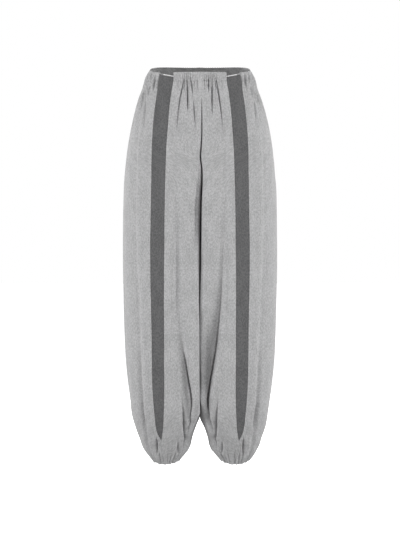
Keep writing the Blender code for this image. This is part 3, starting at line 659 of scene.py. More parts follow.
    def skins(self, rows, at, thickness, lift=0.0, cased=True):
        """The outer and inner skins of a piece of cloth, as grids of points."""
        plain = self.read(self.plain, rows, at)
        plain[..., 1] += self.set_back(rows, at) * np.clip(-plain[..., 1] / self.section.front[rows], 0, 1)
        out = self.read(self.out, rows, at)
        out /= np.linalg.norm(out, axis=2, keepdims=True)
        sunk = self.sunk(rows, at, cased)[..., None]
        side = np.array((self.mirror, 1.0, 1.0))
        return (plain + out * (lift - sunk)) * side, (plain + out * (lift - sunk - thickness)) * side

    def sunk(self, rows, at, cased):
        """How far the cloth lies behind its plain surface. A stripe isn't cased at the waist."""
        z = self.z[rows][:, None]
        from_side = at - self.seams["side"][rows]
        depth = self.long_fold(rows, at) + self.folds(rows, at, z)
        depth = depth + self.back_gathers(rows, at, z) + self.hem_creases(rows, at, z)
        if cased:
            depth = depth + self.casing_form(rows, at, z)
        depth = depth + self.seam_form(rows, at, z, from_side)
        return depth + self.crumple(at, z)

    def crease(self, rows, at):
        """The long fold's table at some rows, how far each place is from its line, and where it is held."""
        line = LONG_FOLD[self.side]
        z = self.z[rows][:, None]
        crease = read_table(line, self.z[rows])
        held = (1 - ease(z, line[0].z, line[0].z + FOLD_FADE_IN_CASING)) * (z > line[-1].z)
        return crease, at - self.place(crease.x, rows=rows), held

    def long_fold(self, rows, at):
        """How deep the long fold lies: a narrow slit in a wider trough."""
        crease, offset, held = self.crease(rows, at)
        width = np.where(offset > 0, crease.width_out, crease.width_in)
        depth = crease.depth * hump(offset, width) + crease.slit * hump(offset, SLIT_WIDTH)
        return depth * held * ease(at, 0.0, LONG_FOLD_WIDEST_BLEND)

    def set_back(self, rows, at):
        """How far one side of the long fold lies straight back behind the other."""
        crease, offset, held = self.crease(rows, at)
        inner = 1 - ease(offset, LAP_IN_ENDS[0] * crease.width_in, LAP_IN_ENDS[1] * crease.width_out)
        outer = ease(offset, LAP_OUT_STARTS[0] * crease.width_in, LAP_OUT_STARTS[1] * crease.width_out)
        outer = outer * (1 - ease(offset, *(share * crease.width_out for share in LAP_OUT_ENDS)))
        return (crease.lap_in * inner + crease.lap_out * outer) * held

    def folds(self, rows, at, z):
        """How deep the folds and gathers of the table lie at each place."""
        depth = np.zeros_like(at)
        heights = self.z[rows]
        for fold in FOLDS:
            if fold.leg not in (self.side, "both"):
                continue
            from_casing = fold.z_high >= CASING_FOOT
            top = fold.z_high + FOLD_FADE_IN_CASING * from_casing
            held = np.nonzero((heights > fold.z_low) & (heights < top))[0]
            if not len(held):
                continue
            share = (fold.z_high - z[held]) / (fold.z_high - fold.z_low)
            x = fold.x_high + (fold.x_low - fold.x_high) * share
            offset = at[held] - self.place(x, fold.face, rows[held])
            start = FOLD_AT_CASING if from_casing else 0.0
            strength = start + (1 - start) * ease(share, 0.0, fold.deepest)
            strength = strength * (1 - ease(share, fold.deepest, 1.0))
            strength = strength * (1 - ease(z[held], fold.z_high, top + LEVEL))
            width = np.where(offset > 0, fold.width_out, fold.width_in)
            depth[held] += fold.depth * strength * hump(offset, width)
        return depth

    def back_gathers(self, rows, at, z):
        """Gathers under the back waistband, counted from the side seam to the centre back seam."""
        side = self.seams["side"][rows]
        corner, end = self.seams["back_corner"][rows], self.seams["centre_back"][rows]
        place = BACK_SPAN * (at - side) / (corner - side)
        place = np.where(at > corner, BACK_SPAN + CENTRE_SPAN * (at - corner) / (end - corner), place)
        fade = np.clip((BACK_SPAN + CENTRE_SPAN - place) / 2, 0.0, 1.0) * (place > 0)
        below = CASING_FOOT - z
        depth = np.zeros_like(at)
        kinds = (
            (GATHER_PITCH, GATHER_DEPTH, GATHER_LENGTH, 0.0),
            (FINE_GATHER_PITCH, FINE_GATHER_DEPTH, FINE_GATHER_LENGTH, FINE_GATHER_SHIFT),
        )
        for pitch, depths, lengths, shift in kinds:
            number = np.floor(place / pitch)
            across = place / pitch - number
            length = uneven(number, lengths, self.start + shift)
            deep = uneven(2 * number + 1, depths, self.start + shift)
            profile = np.sin(pi * np.clip(across, 0.0, 1.0) ** GATHER_SKEW) ** 2
            depth = depth + deep * profile * (1 - ease(below, GATHER_HOLDS * length, length))
        sewn = GATHER_AT_BAND + (1 - GATHER_AT_BAND) * ease(below, 0.0, GATHER_OPENS)
        return depth * fade * sewn * (z <= CASING_FOOT + LEVEL)

    def hem_creases(self, rows, at, z):
        """Broad puckers round the elastic of the hem, and fine creases that run up from it."""
        share = at / self.seams["centre_back"][rows]
        hem = ease(z, HEM_PUCKERS_START, HEM_TOP)
        depth = HEM_PUCKER_DEPTH * hem * (pucker(share, HEM_PUCKERS, self.drift) - 0.5)
        length = self.seams["centre_back"][rows]
        for number in range(HEM_CREASES):
            middle = (number + uneven(3 * number, HEM_CREASE_PLACE, self.start)) / HEM_CREASES
            top = HEM_TOP + uneven(number, HEM_CREASE_LENGTH, self.start)
            deep = uneven(2 * number, HEM_CREASE_DEPTH, self.start)
            offset = (share - middle) * length
            depth = depth + deep * hump(offset, HEM_CREASE_WIDTH) * ease(z, top, HEM_TOP)
        return depth

    def casing_form(self, rows, at, z):
        """The casing swells over its elastic, puckers, and is drawn in along its stitching."""
        share = z / CASING_FOOT
        in_casing = (z >= CASING_FOOT - LEVEL) * 1.0
        swell = -CASING_BULGE * np.sin(pi * np.clip(share, 0.0, 1.0)) * in_casing
        groove = STITCH_GROOVE * hump(z - CASING_FOOT, STITCH_GROOVE_WIDTH)
        in_band = in_casing * (at > self.seams["band"][rows])
        ribs = self.ribs(at, BAND_RIB_PITCH) * BAND_RIB_DEPTH * in_band
        flats = FRONT_FLATTEST + (1 - FRONT_FLATTEST) * self.gathered_part(rows, at)
        on_side = at > (self.seams["stripe_in"][rows] + self.seams["stripe_out"][rows]) / 2
        puckers = self.ribs(at, CASING_PUCKER_PITCH) * CASING_PUCKER_DEPTH * flats * in_casing * (1 - on_side)
        below = 1 - ease(z, CASING_FOOT, SIDE_PUCKERS_END)
        slant = at + SIDE_PUCKER_SWING * np.sin(z / SIDE_PUCKER_SWING_LENGTH + self.drift)
        side_puckers = self.ribs(slant, SIDE_PUCKER_PITCH) * SIDE_PUCKER_DEPTH * on_side * below
        puckers = (puckers + side_puckers) * ease(share, *CASING_PUCKERS_OPEN) * (1 - in_band)
        sewn = 1 - SIDE_SEWN_SMOOTHER * on_side * (at < self.seams["band"][rows])
        return (swell + groove) * sewn + ribs + puckers

    def ribs(self, at, pitch):
        """Fine uneven ribs of an elastic casing, from 0 on the crests to 1 in the dips."""
        wave = 2 * pi * at / pitch + SLOW_DRIFT[0] * np.sin(at / (SLOW_DRIFT[1] * pitch) + self.drift)
        wave = wave + QUICK_DRIFT[0] * np.sin(at / (QUICK_DRIFT[1] * pitch))
        return (0.5 - 0.5 * np.cos(wave)) ** RIB_SHARPNESS

    def gathered_part(self, rows, at):
        """How much the front casing is gathered: it is flatter at its middle and beside the stripe."""
        return hump(at - self.place(FRONT_GATHERED_AT, rows=rows), FRONT_GATHERED_REACH)

    def seam_form(self, rows, at, z, from_side):
        """A groove along each seam, and a narrow ridge where the side seam stands up."""
        stripe_in, stripe_out = self.seams["stripe_in"][rows], self.seams["stripe_out"][rows]
        groove = hump(at - stripe_in, SEAM_GROOVE_WIDTH)
        groove = groove + hump(at - stripe_out, SEAM_GROOVE_WIDTH) * (stripe_out > stripe_in)
        groove = groove + hump(at - self.seams["centre_back"][rows], SEAM_GROOVE_WIDTH)
        groove = groove + hump(at, SEAM_GROOVE_WIDTH)
        trough = read_table(CENTRE_TROUGH, self.z[rows])
        held = (z < CENTRE_TROUGH[0].z) & (z > CENTRE_TROUGH[-1].z)
        trough = trough.depth * held * hump(at, trough.width)
        ridge = SIDE_RIDGE * hump(from_side, SIDE_RIDGE_WIDTH)
        ditch = SIDE_RIDGE_DITCH * hump(from_side - 2.5 * SIDE_RIDGE_WIDTH, 1.5 * SIDE_RIDGE_WIDTH)
        along_leg = ease(z, CASING_FOOT, 3 * CASING_FOOT) * (1 - ease(z, STRIPE_TIP, HEM_TOP))
        return SEAM_GROOVE * groove + trough + (ditch - ridge) * along_leg

    def pressed(self, rows, at):
        """Where the side seam, and the centre front seam near the waist, get a painted highlight: a lighter
        line in the cloth's colour.
        """
        z = self.z[rows][:, None]
        from_side = at - self.seams["side"][rows]
        side = hump(from_side, SEAM_HIGHLIGHT_WIDTH) * ease(z, CASING_FOOT, 4 * CASING_FOOT)
        front = hump(at, SEAM_HIGHLIGHT_WIDTH) * (1 - ease(z, CENTRE_TROUGH[0].z, CENTRE_TROUGH[2].z))
        return side + front

    def crumple(self, at, z):
        """The slight unevenness of cloth that hangs freely."""
        wave = swaying(BROAD_WAVE, at, z, self.drift, self.drift)
        wave = wave + swaying(FINE_WAVE, at, z, 2.0 * self.drift)
        wave = wave + swaying(LEVEL_WAVE, z, at)
        edge = ease(at, 0.0, CRUMPLE_FADE) * ease(z, CASING_FOOT, 4 * CASING_FOOT)
        return garment().crumple * wave * edge


@lru_cache(maxsize=None)
def leg_of(side):
    return Leg(side)


def garment():
    """The settings of the garment."""
    return bpy.context.scene.track_pants_cloth


def kind_of(node):
    return node.removesuffix("_left").removesuffix("_right")


def loop_of_skins(outer, inner):
    """One grid round a piece of cloth: down its outer skin, round its foot, up inside and round its top."""

    def turned_edge(start, end, beside):
        """A half-round edge from one skin to the other, bulging away from the row beside it."""
        middle, half = (start + end) / 2, (start - end) / 2
        away = middle - beside
        away /= np.maximum(np.linalg.norm(away, axis=1, keepdims=True), 1e-9)
        bulge = away * np.linalg.norm(half, axis=1, keepdims=True) * EDGE_ROUNDNESS
        turns = np.linspace(0, pi, EDGE_STEPS + 2)[1:-1]
        return [middle + half * np.cos(t) + bulge * np.sin(t) for t in turns]

    foot = turned_edge(outer[-1], inner[-1], (outer[-2] + inner[-2]) / 2)
    top = turned_edge(inner[0], outer[0], (outer[1] + inner[1]) / 2)
    return np.concatenate((outer, np.array(foot), inner[::-1], np.array(top)))


def loop_order(rows):
    """For each row of that grid, the row of the skins that it lies on or beside."""
    down, edge = np.arange(rows), np.ones(EDGE_STEPS, dtype=int)
    return np.concatenate((down, (rows - 1) * edge, down[::-1], 0 * edge))


def cloth_shell(name, outer, inner, materials, flipped, tube):
    """A closed shell of cloth. Its first material is on the right side and its last on the wrong side."""
    rows, columns = outer.shape[:2]
    grid = loop_of_skins(outer, inner)
    count = len(grid)
    numbers = np.arange(count * columns).reshape(count, columns)
    beside = np.roll(numbers, -1, axis=1)
    quads = np.stack((numbers, np.roll(numbers, -1, axis=0), np.roll(beside, -1, axis=0), beside), axis=2)
    if not tube:
        quads = quads[:, :-1]
    faces = [tuple(face) for face in quads.reshape(-1, 4).tolist()]
    wrong_side = np.zeros(count, dtype=np.int32)
    wrong_side[rows + EDGE_STEPS : 2 * rows + EDGE_STEPS - 1] = len(materials) - 1
    marks = np.repeat(wrong_side, quads.shape[1])
    if not tube:
        faces += side_faces(count, columns, rows)
    if flipped:
        faces = [face[::-1] for face in faces]
    marks = np.pad(marks, (0, len(faces) - len(marks)))
    piece = show(name, grid.reshape(-1, 3), faces, materials, marks)
    piece.data.set_sharp_from_angle(angle=SHARP_ANGLE)
    return piece


def side_faces(count, columns, rows):
    """The faces that close a shell along its first and last columns."""
    faces = []
    for column, turn in ((0, 1), (columns - 1, -1)):
        number = [row * columns + column for row in range(count)]
        inner = number[rows + EDGE_STEPS : 2 * rows + EDGE_STEPS][::-1]
        for row in range(rows - 1):
            faces.append((number[row], inner[row], inner[row + 1], number[row + 1])[::turn])
        foot = tuple(number[rows - 1 : rows + EDGE_STEPS + 1])
        top = (*number[2 * rows + EDGE_STEPS - 1 :], number[0])
        faces += [foot[::-turn], top[::-turn]]
    return faces


def show(name, points, faces, materials, marks=None):
    """A smooth-shaded object in the scene. The marks say which material each face has."""
    mesh = bpy.data.meshes.new(name)
    mesh.from_pydata(points, [], faces)
    for material in materials:
        mesh.materials.append(material)
    if marks is not None:
        mesh.polygons.foreach_set("material_index", marks)
    mesh.shade_smooth()
    mesh.validate()
    piece = bpy.data.objects.new(name, mesh)
    bpy.context.scene.collection.objects.link(piece)
    return piece


def mark_grain(piece, across, down):
    """Lays the cloth's grain on a piece: metres across and down it, for the weave."""
    layer = piece.data.uv_layers.new(name="grain")
    loops = np.zeros(len(piece.data.loops), dtype=np.int32)
    piece.data.loops.foreach_get("vertex_index", loops)
    grain = np.stack((across[loops], down[loops]), axis=1)
    layer.uv.foreach_set("vector", grain.astype(np.float32).ravel())


# ---------------------------------------------------------------- materials


class Shade:
    """A value in a material. Its sums and products add the nodes that work them out."""

    def __init__(self, finish, socket):
        self.finish = finish
        self.socket = socket

    def maths(self, operation, *values):
        return self.finish.node("ShaderNodeMath", {"operation": operation}, dict(enumerate(values)))

    def __add__(self, other):
        return self.maths("ADD", self, other)

    __radd__ = __add__

    def __sub__(self, other):
        return self.maths("SUBTRACT", self, other)

    def __rsub__(self, other):
        return self.maths("SUBTRACT", other, self)

    def __mul__(self, other):
        return self.maths("MULTIPLY", self, other)

    __rmul__ = __mul__

    def __truediv__(self, other):
        return self.maths("DIVIDE", self, other)

    def __rtruediv__(self, other):
        return self.maths("DIVIDE", other, self)

    def sine(self):
        return self.maths("SINE", self)

    def size(self):
        return self.maths("ABSOLUTE", self)


class Finish:
    """A material while its nodes are being laid."""

    def __init__(self, name):
        self.material = bpy.data.materials.new(name)
        self.material.use_nodes = True
        self.tree = self.material.node_tree
        self.shader = self.tree.nodes["Principled BSDF"]

    def node(self, kind, settings=None, sockets=None, output=0):
        """Adds a node. Its settings are set first, then the values or links of its sockets."""
        node = self.tree.nodes.new(kind)
        for name, value in (settings or {}).items():
            setattr(node, name, value)
        for key, value in (sockets or {}).items():
            self.join(value, node.inputs[key])
        return Shade(self, node.outputs[output])

    def join(self, value, socket):
        if isinstance(value, Shade):
            self.tree.links.new(value.socket, socket)
        else:
            socket.default_value = value

    def set(self, **values):
        for name, value in values.items():
            self.join(value, self.shader.inputs[name.replace("_", " ")])
        return self.material

    def mix_colors(self, share, first, second):
        mix = {"data_type": "RGBA"}
        return self.node("ShaderNodeMix", mix, {0: share, 6: first, 7: second}, output=2)

    def grain(self):
        """Metres across and down the cloth."""
        uv = self.node("ShaderNodeUVMap", {"uv_map": "grain"})
        return [self.node("ShaderNodeSeparateXYZ", None, {0: uv}, output=axis) for axis in (0, 1)]

    def noise(self, across, down, detail=2.0):
        """Smooth noise about one unit across, from 0 to 1."""
        place = self.node("ShaderNodeCombineXYZ", None, {0: across, 1: down})
        values = {"Vector": place, "Scale": 1.0, "Detail": detail}
        return self.node("ShaderNodeTexNoise", {"noise_dimensions": "2D"}, values)

    def bump(self, height, distance, strength):
        values = {"Height": height, "Distance": distance, "Strength": strength}
        return self.node("ShaderNodeBump", None, values)


def times(color, factor=1.0):
    """A colour made darker or lighter, with its alpha."""
    return (*(min(max(part * factor, 0.0), 1.0) for part in color), 1.0)


@lru_cache(maxsize=None)
def jersey(kind):
    """Heather jersey: fibres of uneven tone in fine vertical wales of knit stitches."""
    look = JERSEYS[kind]
    color = getattr(garment(), look.color)
    heather = garment().heather * look.heather
    finish = Finish(look.name)
    across, down = finish.grain()
    fibres = finish.noise(across / FIBRE[0], down / FIBRE[1], detail=3.0)
    flecks = finish.noise(across / FLECK[0] + 17.0, down / FLECK[1], detail=1.0)
    patches = finish.noise(across / PATCH[0] + 5.0, down / PATCH[1] + 3.0)
    tone = 0.5 + (fibres - 0.5) * (FIBRE_TONE * heather)
    tone = tone + (flecks - 0.5) * (FLECK_TONE * heather) + (patches - 0.5) * (PATCH_TONE * heather)
    # Painted highlight: lighter along the side seam's ridge and the centre front seam near the waist
    pressed = finish.node("ShaderNodeAttribute", {"attribute_name": "pressed"}, output=2)
    tone = tone + pressed * SEAM_HIGHLIGHT_LIGHTER
    wale, course = 2 * pi / WALE, 2 * pi / COURSE
    if look.wrong_side:
        wale, course = course, wale
    stitch = (across * wale).sine()
    rows = (down * course + stitch.size() * 1.6).sine()
    height = 0.6 * stitch + 0.4 * rows + (fibres - 0.5) * 1.2
    low, high = times(color, DARKEST * look.lighter), times(color, LIGHTEST * look.lighter)
    return finish.set(
        Base_Color=finish.mix_colors(tone, low, high),
        Roughness=0.88 + (fibres - 0.5) * 0.2,
        Normal=finish.bump(height, 0.00025, 0.35),
        Sheen_Weight=0.12,
        Sheen_Roughness=0.5,
        Specular_IOR_Level=0.2,
    )


@lru_cache(maxsize=None)
def cord_finish():
    """A smooth white cord that passes under light grey cloth near its side end."""
    finish = Finish("waist_cord")
    along, around = finish.grain()
    shows = {"Value": along, "From Min": CORD_SHOWS[0], "From Max": CORD_SHOWS[1]}
    shows |= {"To Min": 0.0, "To Max": 1.0}
    covered = finish.node("ShaderNodeMapRange", {"interpolation_type": "SMOOTHSTEP"}, shows)
    fuzz = finish.noise(along * 60.0, around * 6.0)
    return finish.set(
        Base_Color=finish.mix_colors(covered, times(garment().cord_color), times(garment().light_color)),
        Roughness=0.6 + (fuzz - 0.5) * 0.2,
        Normal=finish.bump(fuzz, 0.0002, 0.3),
        Sheen_Weight=0.1,
    )


def floor_finish(color):
    finish = Finish("studio_floor")
    spot = finish.node("ShaderNodeTexCoord", output=3)
    mottle = finish.node("ShaderNodeTexNoise", None, {"Vector": spot, "Scale": 3.0})
    return finish.set(
        Base_Color=finish.mix_colors(mottle, times(color, 0.99), times(color)),
        Roughness=0.9,
        Emission_Color=times(color),
        Emission_Strength=1.0,
    )


# ---------------------------------------------------------------- pieces


def cloth_piece(node, skins, at, z, flipped, tube=False):
    """A piece of cloth on a node's form, joined to the frame, in the jerseys that its cut lists."""
    cut = CUTS[kind_of(node)]
    piece = cloth_shell(f"{node}_cloth", *skins, [jersey(kind) for kind in cut.jerseys], flipped, tube)
    order = loop_order(len(z))
    mark_grain(piece, at[order].ravel(), np.repeat(z[order], at.shape[1]))
    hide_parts(node)
    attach(piece, "root")
    return piece


def build_panel(side, kind, top=CASING_FOOT, foot=HEM_TOP, lift=0.0):
    """A panel of one leg between two seams, from the casing down to the hem."""
    leg = leg_of(side)
    rows = leg.rows(top, foot)
    at = leg.places(rows, SPANS[kind])
    skins = leg.skins(rows, at, garment().jersey_thickness, lift, cased=kind != "stripe")
    if kind == "stripe":
        slope_stripe_top(*skins)
    piece = cloth_piece(f"{kind}_{side}", skins, at, leg.z[rows], leg.mirror < 0)
    # The painted highlight along the seams, kept on the points for the jersey's colour
    layer = piece.data.attributes.new("pressed", "FLOAT", "POINT")
    pressed = leg.pressed(rows, at)[loop_order(len(rows))]
    layer.data.foreach_set("value", pressed.astype(np.float32).ravel())


def slope_stripe_top(outer, inner):
    """The stripe's top edge runs just under the waist cord and is rounded at its outer corner."""
    share = crowded(outer.shape[1] - 1)
    under_cord = CORD_RADIUS + CORD_CLEARANCE
    slope = CORD_AT_FRONT + (CORD_AT_SIDE - CORD_AT_FRONT) * share - under_cord - STRIPE_TOP
    width = np.linalg.norm(outer[0, -1] - outer[0, 0])
    into_corner = np.clip(1 - (1 - share) * width / STRIPE_CORNER, 0.0, 1.0)
    slope = slope - STRIPE_CORNER * (1 - np.sqrt(1 - into_corner**2))
    fade = 1 - ease(np.arange(len(outer)), 0, STRIPE_SLOPE_ROWS)[:, None]
    for grid in (outer, inner):
        grid[..., 2] += slope * fade


def build_casing(node, sides):
    """A casing round part of the waist. One that crosses the middle is made from both sides."""
    halves = []
    for side in sides:
        leg = leg_of(side)
        rows = leg.rows(0.0, CASING_FOOT)
        at = leg.places(rows, SPANS[kind_of(node)])
        halves.append((*leg.skins(rows, at, garment().casing_thickness), at))
    outer, inner, at = halves[0]
    if len(halves) == 2:
        other_outer, other_inner, other_at = halves[1]
        in_front = node == "front_casing"
        outer, inner = meet(outer, other_outer, in_front), meet(inner, other_inner, in_front)
        at = meet(at, (0.0 if in_front else 2 * at[:, -1:]) - other_at, in_front)
        middle = outer.shape[1] // 2
        outer[:, middle, 0] = inner[:, middle, 0] = 0.0
    cloth_piece(node, (outer, inner), at, leg.z[rows], leg_of(sides[0]).mirror < 0)


def meet(first, second, in_front):
    """Joins the grids of the two sides where they share the middle column."""
    parts = (second[:, :0:-1], first) if in_front else (first, second[:, -2::-1])
    return np.concatenate(parts, axis=1)


def unit(ways):
    return ways / np.linalg.norm(ways, axis=-1, keepdims=True)


def strand(path, radius, start):
    """A closed round tube along a path: its points, its faces, and its grain from 0 to 1 along it."""
    turns = np.linspace(0, 2 * pi, CORD_SIDES + 1)[:-1]
    ways = unit(np.gradient(path, axis=0))
    first = unit(np.cross(ways, (0.0, 0.0, 1.0)))
    second = np.cross(ways, first)
    rings = [path + radius * (np.cos(turn) * first + np.sin(turn) * second) for turn in turns]
    points = np.concatenate((np.stack(rings, axis=1).reshape(-1, 3), path[[0, -1]]))
    numbers = start + np.arange(len(path) * CORD_SIDES).reshape(-1, CORD_SIDES)
    beside = np.roll(numbers, -1, axis=1)
    quads = np.stack((numbers[:-1], beside[:-1], beside[1:], numbers[1:]), axis=2)
    faces = quads.reshape(-1, 4).tolist()
    last = start + numbers.size
    for a, b, c, d in zip(numbers[0].tolist(), beside[0].tolist(), numbers[-1].tolist(), beside[-1].tolist()):
        faces += [(a, last, b), (d, last + 1, c)]
    along = np.concatenate((np.repeat(np.linspace(0, 1, len(path)), CORD_SIDES), (0.0, 1.0)))
    around = np.concatenate((np.tile(turns, len(path)), (0.0, 0.0)))
    return points, faces, along, around


def build_cord(side):
    """The waist cord, in twisted strands, where it crosses the top of a stripe."""
    leg = leg_of(side)
    rows = leg.rows(0.0, -1e-9)
    at = leg.places(rows, SPANS["waist_cord"])
    outer, inner = leg.skins(rows, at, garment().casing_thickness)
    centres = (outer[0] + inner[0]) / 2
    reach = np.linalg.norm(centres - centres[0], axis=1)
    centres[:, 2] += CORD_AT_FRONT + (CORD_AT_SIDE - CORD_AT_FRONT) * reach / reach[-1]
    way = unit(centres[-1] - centres[0])
    sideways = unit(np.cross(way, (0.0, 0.0, 1.0)))
    upward = np.cross(sideways, way)
    points, faces, along, around = [], [], [], []
    for number in range(CORD_STRANDS):
        turn = 2 * pi * (number / CORD_STRANDS + reach / CORD_LAY)[:, None]
        off_centre = CORD_RADIUS * (1 - STRAND_SHARE) * (np.cos(turn) * sideways + np.sin(turn) * upward)
        parts = strand(centres + off_centre, CORD_RADIUS * STRAND_SHARE, sum(map(len, points)))
        for whole, part in zip((points, faces, along, around), parts):
            whole.append(part)
    faces = [tuple(face) for part in faces for face in part]
    piece = show(f"waist_cord_{side}_twist", np.concatenate(points), faces, [cord_finish()])
    mark_grain(piece, np.concatenate(along), np.concatenate(around))
    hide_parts(f"waist_cord_{side}")
    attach(piece, "root")


def build_hem(side):
    """The elastic casing that turns the foot of the balloon leg in under itself."""
    leg = leg_of(side)
    rows = leg.rows(HEM_TOP, HEM_FOOT)
    at = leg.places(rows, SPANS["hem"])
    skins = [skin[:, :-1] for skin in leg.skins(rows, at, garment().casing_thickness)]
    cloth_piece(f"hem_{side}", skins, at[:, :-1], leg.z[rows], leg.mirror < 0, tube=True)


# ---------------------------------------------------------------- settings and operators


def length_setting(name, description, default, low, high):
    return bpy.props.FloatProperty(
        name=name, description=description, default=default, min=low, max=high, precision=4, unit="LENGTH"
    )


def colour_setting(name, description, *default):
    return bpy.props.FloatVectorProperty(
        name=name, description=description, default=default, min=0.0, max=1.0, subtype="COLOR"
    )


class TrackPantsCloth(bpy.types.PropertyGroup):
    """Sizes and colours of the garment."""

    jersey_thickness: length_setting("Jersey thickness", "Thickness of the panels", 0.0018, 0.001, 0.003)
    casing_thickness: length_setting(
        "Casing thickness", "Thickness of the folded casings with their elastic", 0.0030, 0.002, 0.004
    )
    crumple: length_setting(
        "Crumple", "Depth of the slight unevenness of the hanging cloth", 0.0004, 0.0, 0.002
    )
    heather: bpy.props.FloatProperty(
        name="Heather",
        description="How strongly the fibres differ in tone",
        default=0.95,
        min=0.0,
        max=1.0,
        subtype="FACTOR",
    )
    light_color: colour_setting("Light jersey", "Colour of the light grey jersey", 0.440, 0.440, 0.444)
    charcoal_color: colour_setting(
        "Charcoal jersey", "Colour of the stripes and of the waistband", 0.128, 0.128, 0.130
    )
    # Painted light: lighter than the band's charcoal outside, to make up for the shade inside the waist
    band_color: colour_setting(
        "Inside of the waistband", "Colour of the band's inner side, its elastic", 0.380, 0.380, 0.382
    )
    cord_color: colour_setting("Waist cord", "Colour of the waist cord", 0.95, 0.95, 0.95)


class TrackPantsStudio(bpy.types.PropertyGroup):
    """The floor, light and camera."""

    floor_color: colour_setting("Floor", "Colour of the plain floor", 0.95, 0.95, 0.95)
    floor_drop: length_setting("Floor below hems", "How far below the hems the floor lies", 0.070, 0.0, 0.5)
    sky_light: bpy.props.FloatProperty(
        name="Soft light", description="Strength of the even light", default=0.38, min=0.0, max=3.0
    )
    box_light: bpy.props.FloatProperty(
        name="Soft boxes",
        description="Power of each of the two large soft lights before the garment. Those behind have less",
        default=81.0,
        min=0.0,
        max=500.0,
        unit="POWER",
    )
    camera_distance: length_setting(
        "Camera distance", "From the camera to the middle of the garment", 5.0, 1.0, 20.0
    )


class TRACKPANTS_OT_panels(bpy.types.Operator):
    """Build the front, side and back panels and the stripes of both legs"""

    bl_idname = "track_pants.panels"
    bl_label = "Leg panels"

    def execute(self, context):
        for side in ("left", "right"):
            build_panel(side, "front")
            build_panel(side, "stripe", STRIPE_TOP, STRIPE_SEAM_CLOSES, -STRIPE_SUNK)
            build_panel(side, "side")
            build_panel(side, "back")
        return {"FINISHED"}


class TRACKPANTS_OT_casings(bpy.types.Operator):
    """Build the front and side casings and the dark back waistband"""

    bl_idname = "track_pants.casings"
    bl_label = "Waist casings"

    def execute(self, context):
        build_casing("front_casing", ("left", "right"))
        build_casing("back_waistband", ("left", "right"))
        for side in ("left", "right"):
            build_casing(f"side_casing_{side}", (side,))
        return {"FINISHED"}


class TRACKPANTS_OT_hems(bpy.types.Operator):
    """Build the tucked elastic hems"""

    bl_idname = "track_pants.hems"
    bl_label = "Hems"

    def execute(self, context):
        for side in ("left", "right"):
            build_hem(side)
        return {"FINISHED"}


class TRACKPANTS_OT_cords(bpy.types.Operator):
    """Build the waist cord where it shows above each stripe"""

    bl_idname = "track_pants.cords"
    bl_label = "Waist cord"

    def execute(self, context):
        for side in ("left", "right"):
            build_cord(side)
        return {"FINISHED"}


def light_world(scene, strength):
    """Even light from all round, behind which the backdrop shows white."""
    scene.world = bpy.data.worlds.new("studio")
    scene.world.use_nodes = True
    nodes, links = scene.world.node_tree.nodes, scene.world.node_tree.links
    sky, backdrop = nodes["Background"], nodes.new("ShaderNodeBackground")
    for background in (sky, backdrop):
        background.inputs["Color"].default_value = (1.0, 1.0, 1.0, 1.0)
    sky.inputs["Strength"].default_value = strength
    mix = nodes.new("ShaderNodeMixShader")
    links.new(nodes.new("ShaderNodeLightPath").outputs["Is Camera Ray"], mix.inputs[0])
    links.new(sky.outputs[0], mix.inputs[1])
    links.new(backdrop.outputs[0], mix.inputs[2])
    links.new(mix.outputs[0], nodes["World Output"].inputs["Surface"])


def stand(scene, name, data, place):
    """Puts a lamp or a camera in the scene."""
    thing = bpy.data.objects.new(name, data)
    thing.location = place
    scene.collection.objects.link(thing)
    return thing


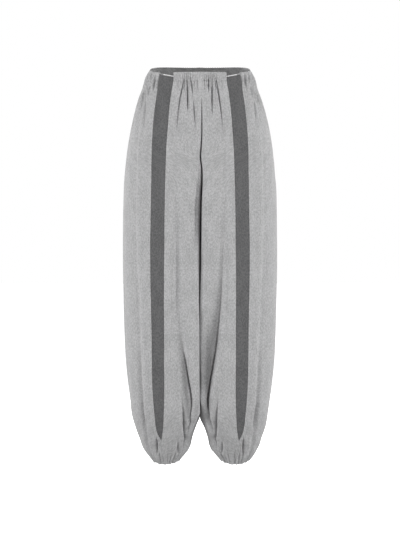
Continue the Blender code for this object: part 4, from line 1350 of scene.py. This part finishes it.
class TRACKPANTS_OT_studio(bpy.types.Operator):
    """Set up the floor, the light and the camera"""

    bl_idname = "track_pants.studio"
    bl_label = "Studio"

    def execute(self, context):
        scene, studio = context.scene, context.scene.track_pants_studio
        floor_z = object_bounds()[0].z - studio.floor_drop
        turns = np.linspace(0, 2 * pi, FLOOR_SIDES + 1)[:-1]
        points = [(FLOOR_REACH * np.cos(t), FLOOR_REACH * np.sin(t), floor_z) for t in turns]
        ground = show("floor", points, [tuple(range(len(points)))], [floor_finish(studio.floor_color)])
        ground.visible_diffuse = False
        ground.visible_glossy = False
        ground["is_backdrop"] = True

        light_world(scene, studio.sky_light)
        for (across, back, up), power in SOFT_BOXES:
            for side in (-1, 1):
                lamp = bpy.data.lights.new("soft_box", "AREA")
                lamp.shape = "RECTANGLE"
                lamp.size, lamp.size_y = SOFT_BOX_SIZE
                lamp.energy = studio.box_light * power
                box = stand(scene, "soft_box", lamp, (side * across, back, up))
                aim = Vector(SOFT_BOXES_AIM) - box.location
                box.rotation_euler = aim.to_track_quat("-Z", "Y").to_euler()

        camera = bpy.data.cameras.new("camera")
        camera.sensor_width, camera.lens = SENSOR_MM, LENS_MM
        scene.camera = stand(scene, "camera", camera, (0.0, -studio.camera_distance, CAMERA_HEIGHT))
        scene.camera.rotation_euler = (radians(90), 0.0, 0.0)
        scene.view_settings.view_transform = "Standard"
        return {"FINISHED"}


class VIEW3D_PT_track_pants(bpy.types.Panel):
    """The steps of the garment, in the sidebar"""

    bl_label = "Track pants"
    bl_space_type = "VIEW_3D"
    bl_region_type = "UI"
    bl_category = "Track pants"

    def draw(self, context):
        layout = self.layout
        for step in STEPS:
            layout.operator(step.bl_idname)
        for settings in (context.scene.track_pants_cloth, context.scene.track_pants_studio):
            box = layout.box()
            for name in type(settings).__annotations__:
                box.prop(settings, name)


STEPS = (
    TRACKPANTS_OT_studio,
    TRACKPANTS_OT_panels,
    TRACKPANTS_OT_casings,
    TRACKPANTS_OT_hems,
    TRACKPANTS_OT_cords,
)
CLASSES = (TrackPantsCloth, TrackPantsStudio, *STEPS, VIEW3D_PT_track_pants)


def register():
    for each in CLASSES:
        bpy.utils.register_class(each)
    bpy.types.Scene.track_pants_cloth = bpy.props.PointerProperty(type=TrackPantsCloth)
    bpy.types.Scene.track_pants_studio = bpy.props.PointerProperty(type=TrackPantsStudio)


def unregister():
    del bpy.types.Scene.track_pants_studio
    del bpy.types.Scene.track_pants_cloth
    for each in reversed(CLASSES):
        bpy.utils.unregister_class(each)


def main():
    register()
    for step in STEPS:
        area, name = step.bl_idname.split(".")
        getattr(getattr(bpy.ops, area), name)()


if __name__ == "__main__":
    main()
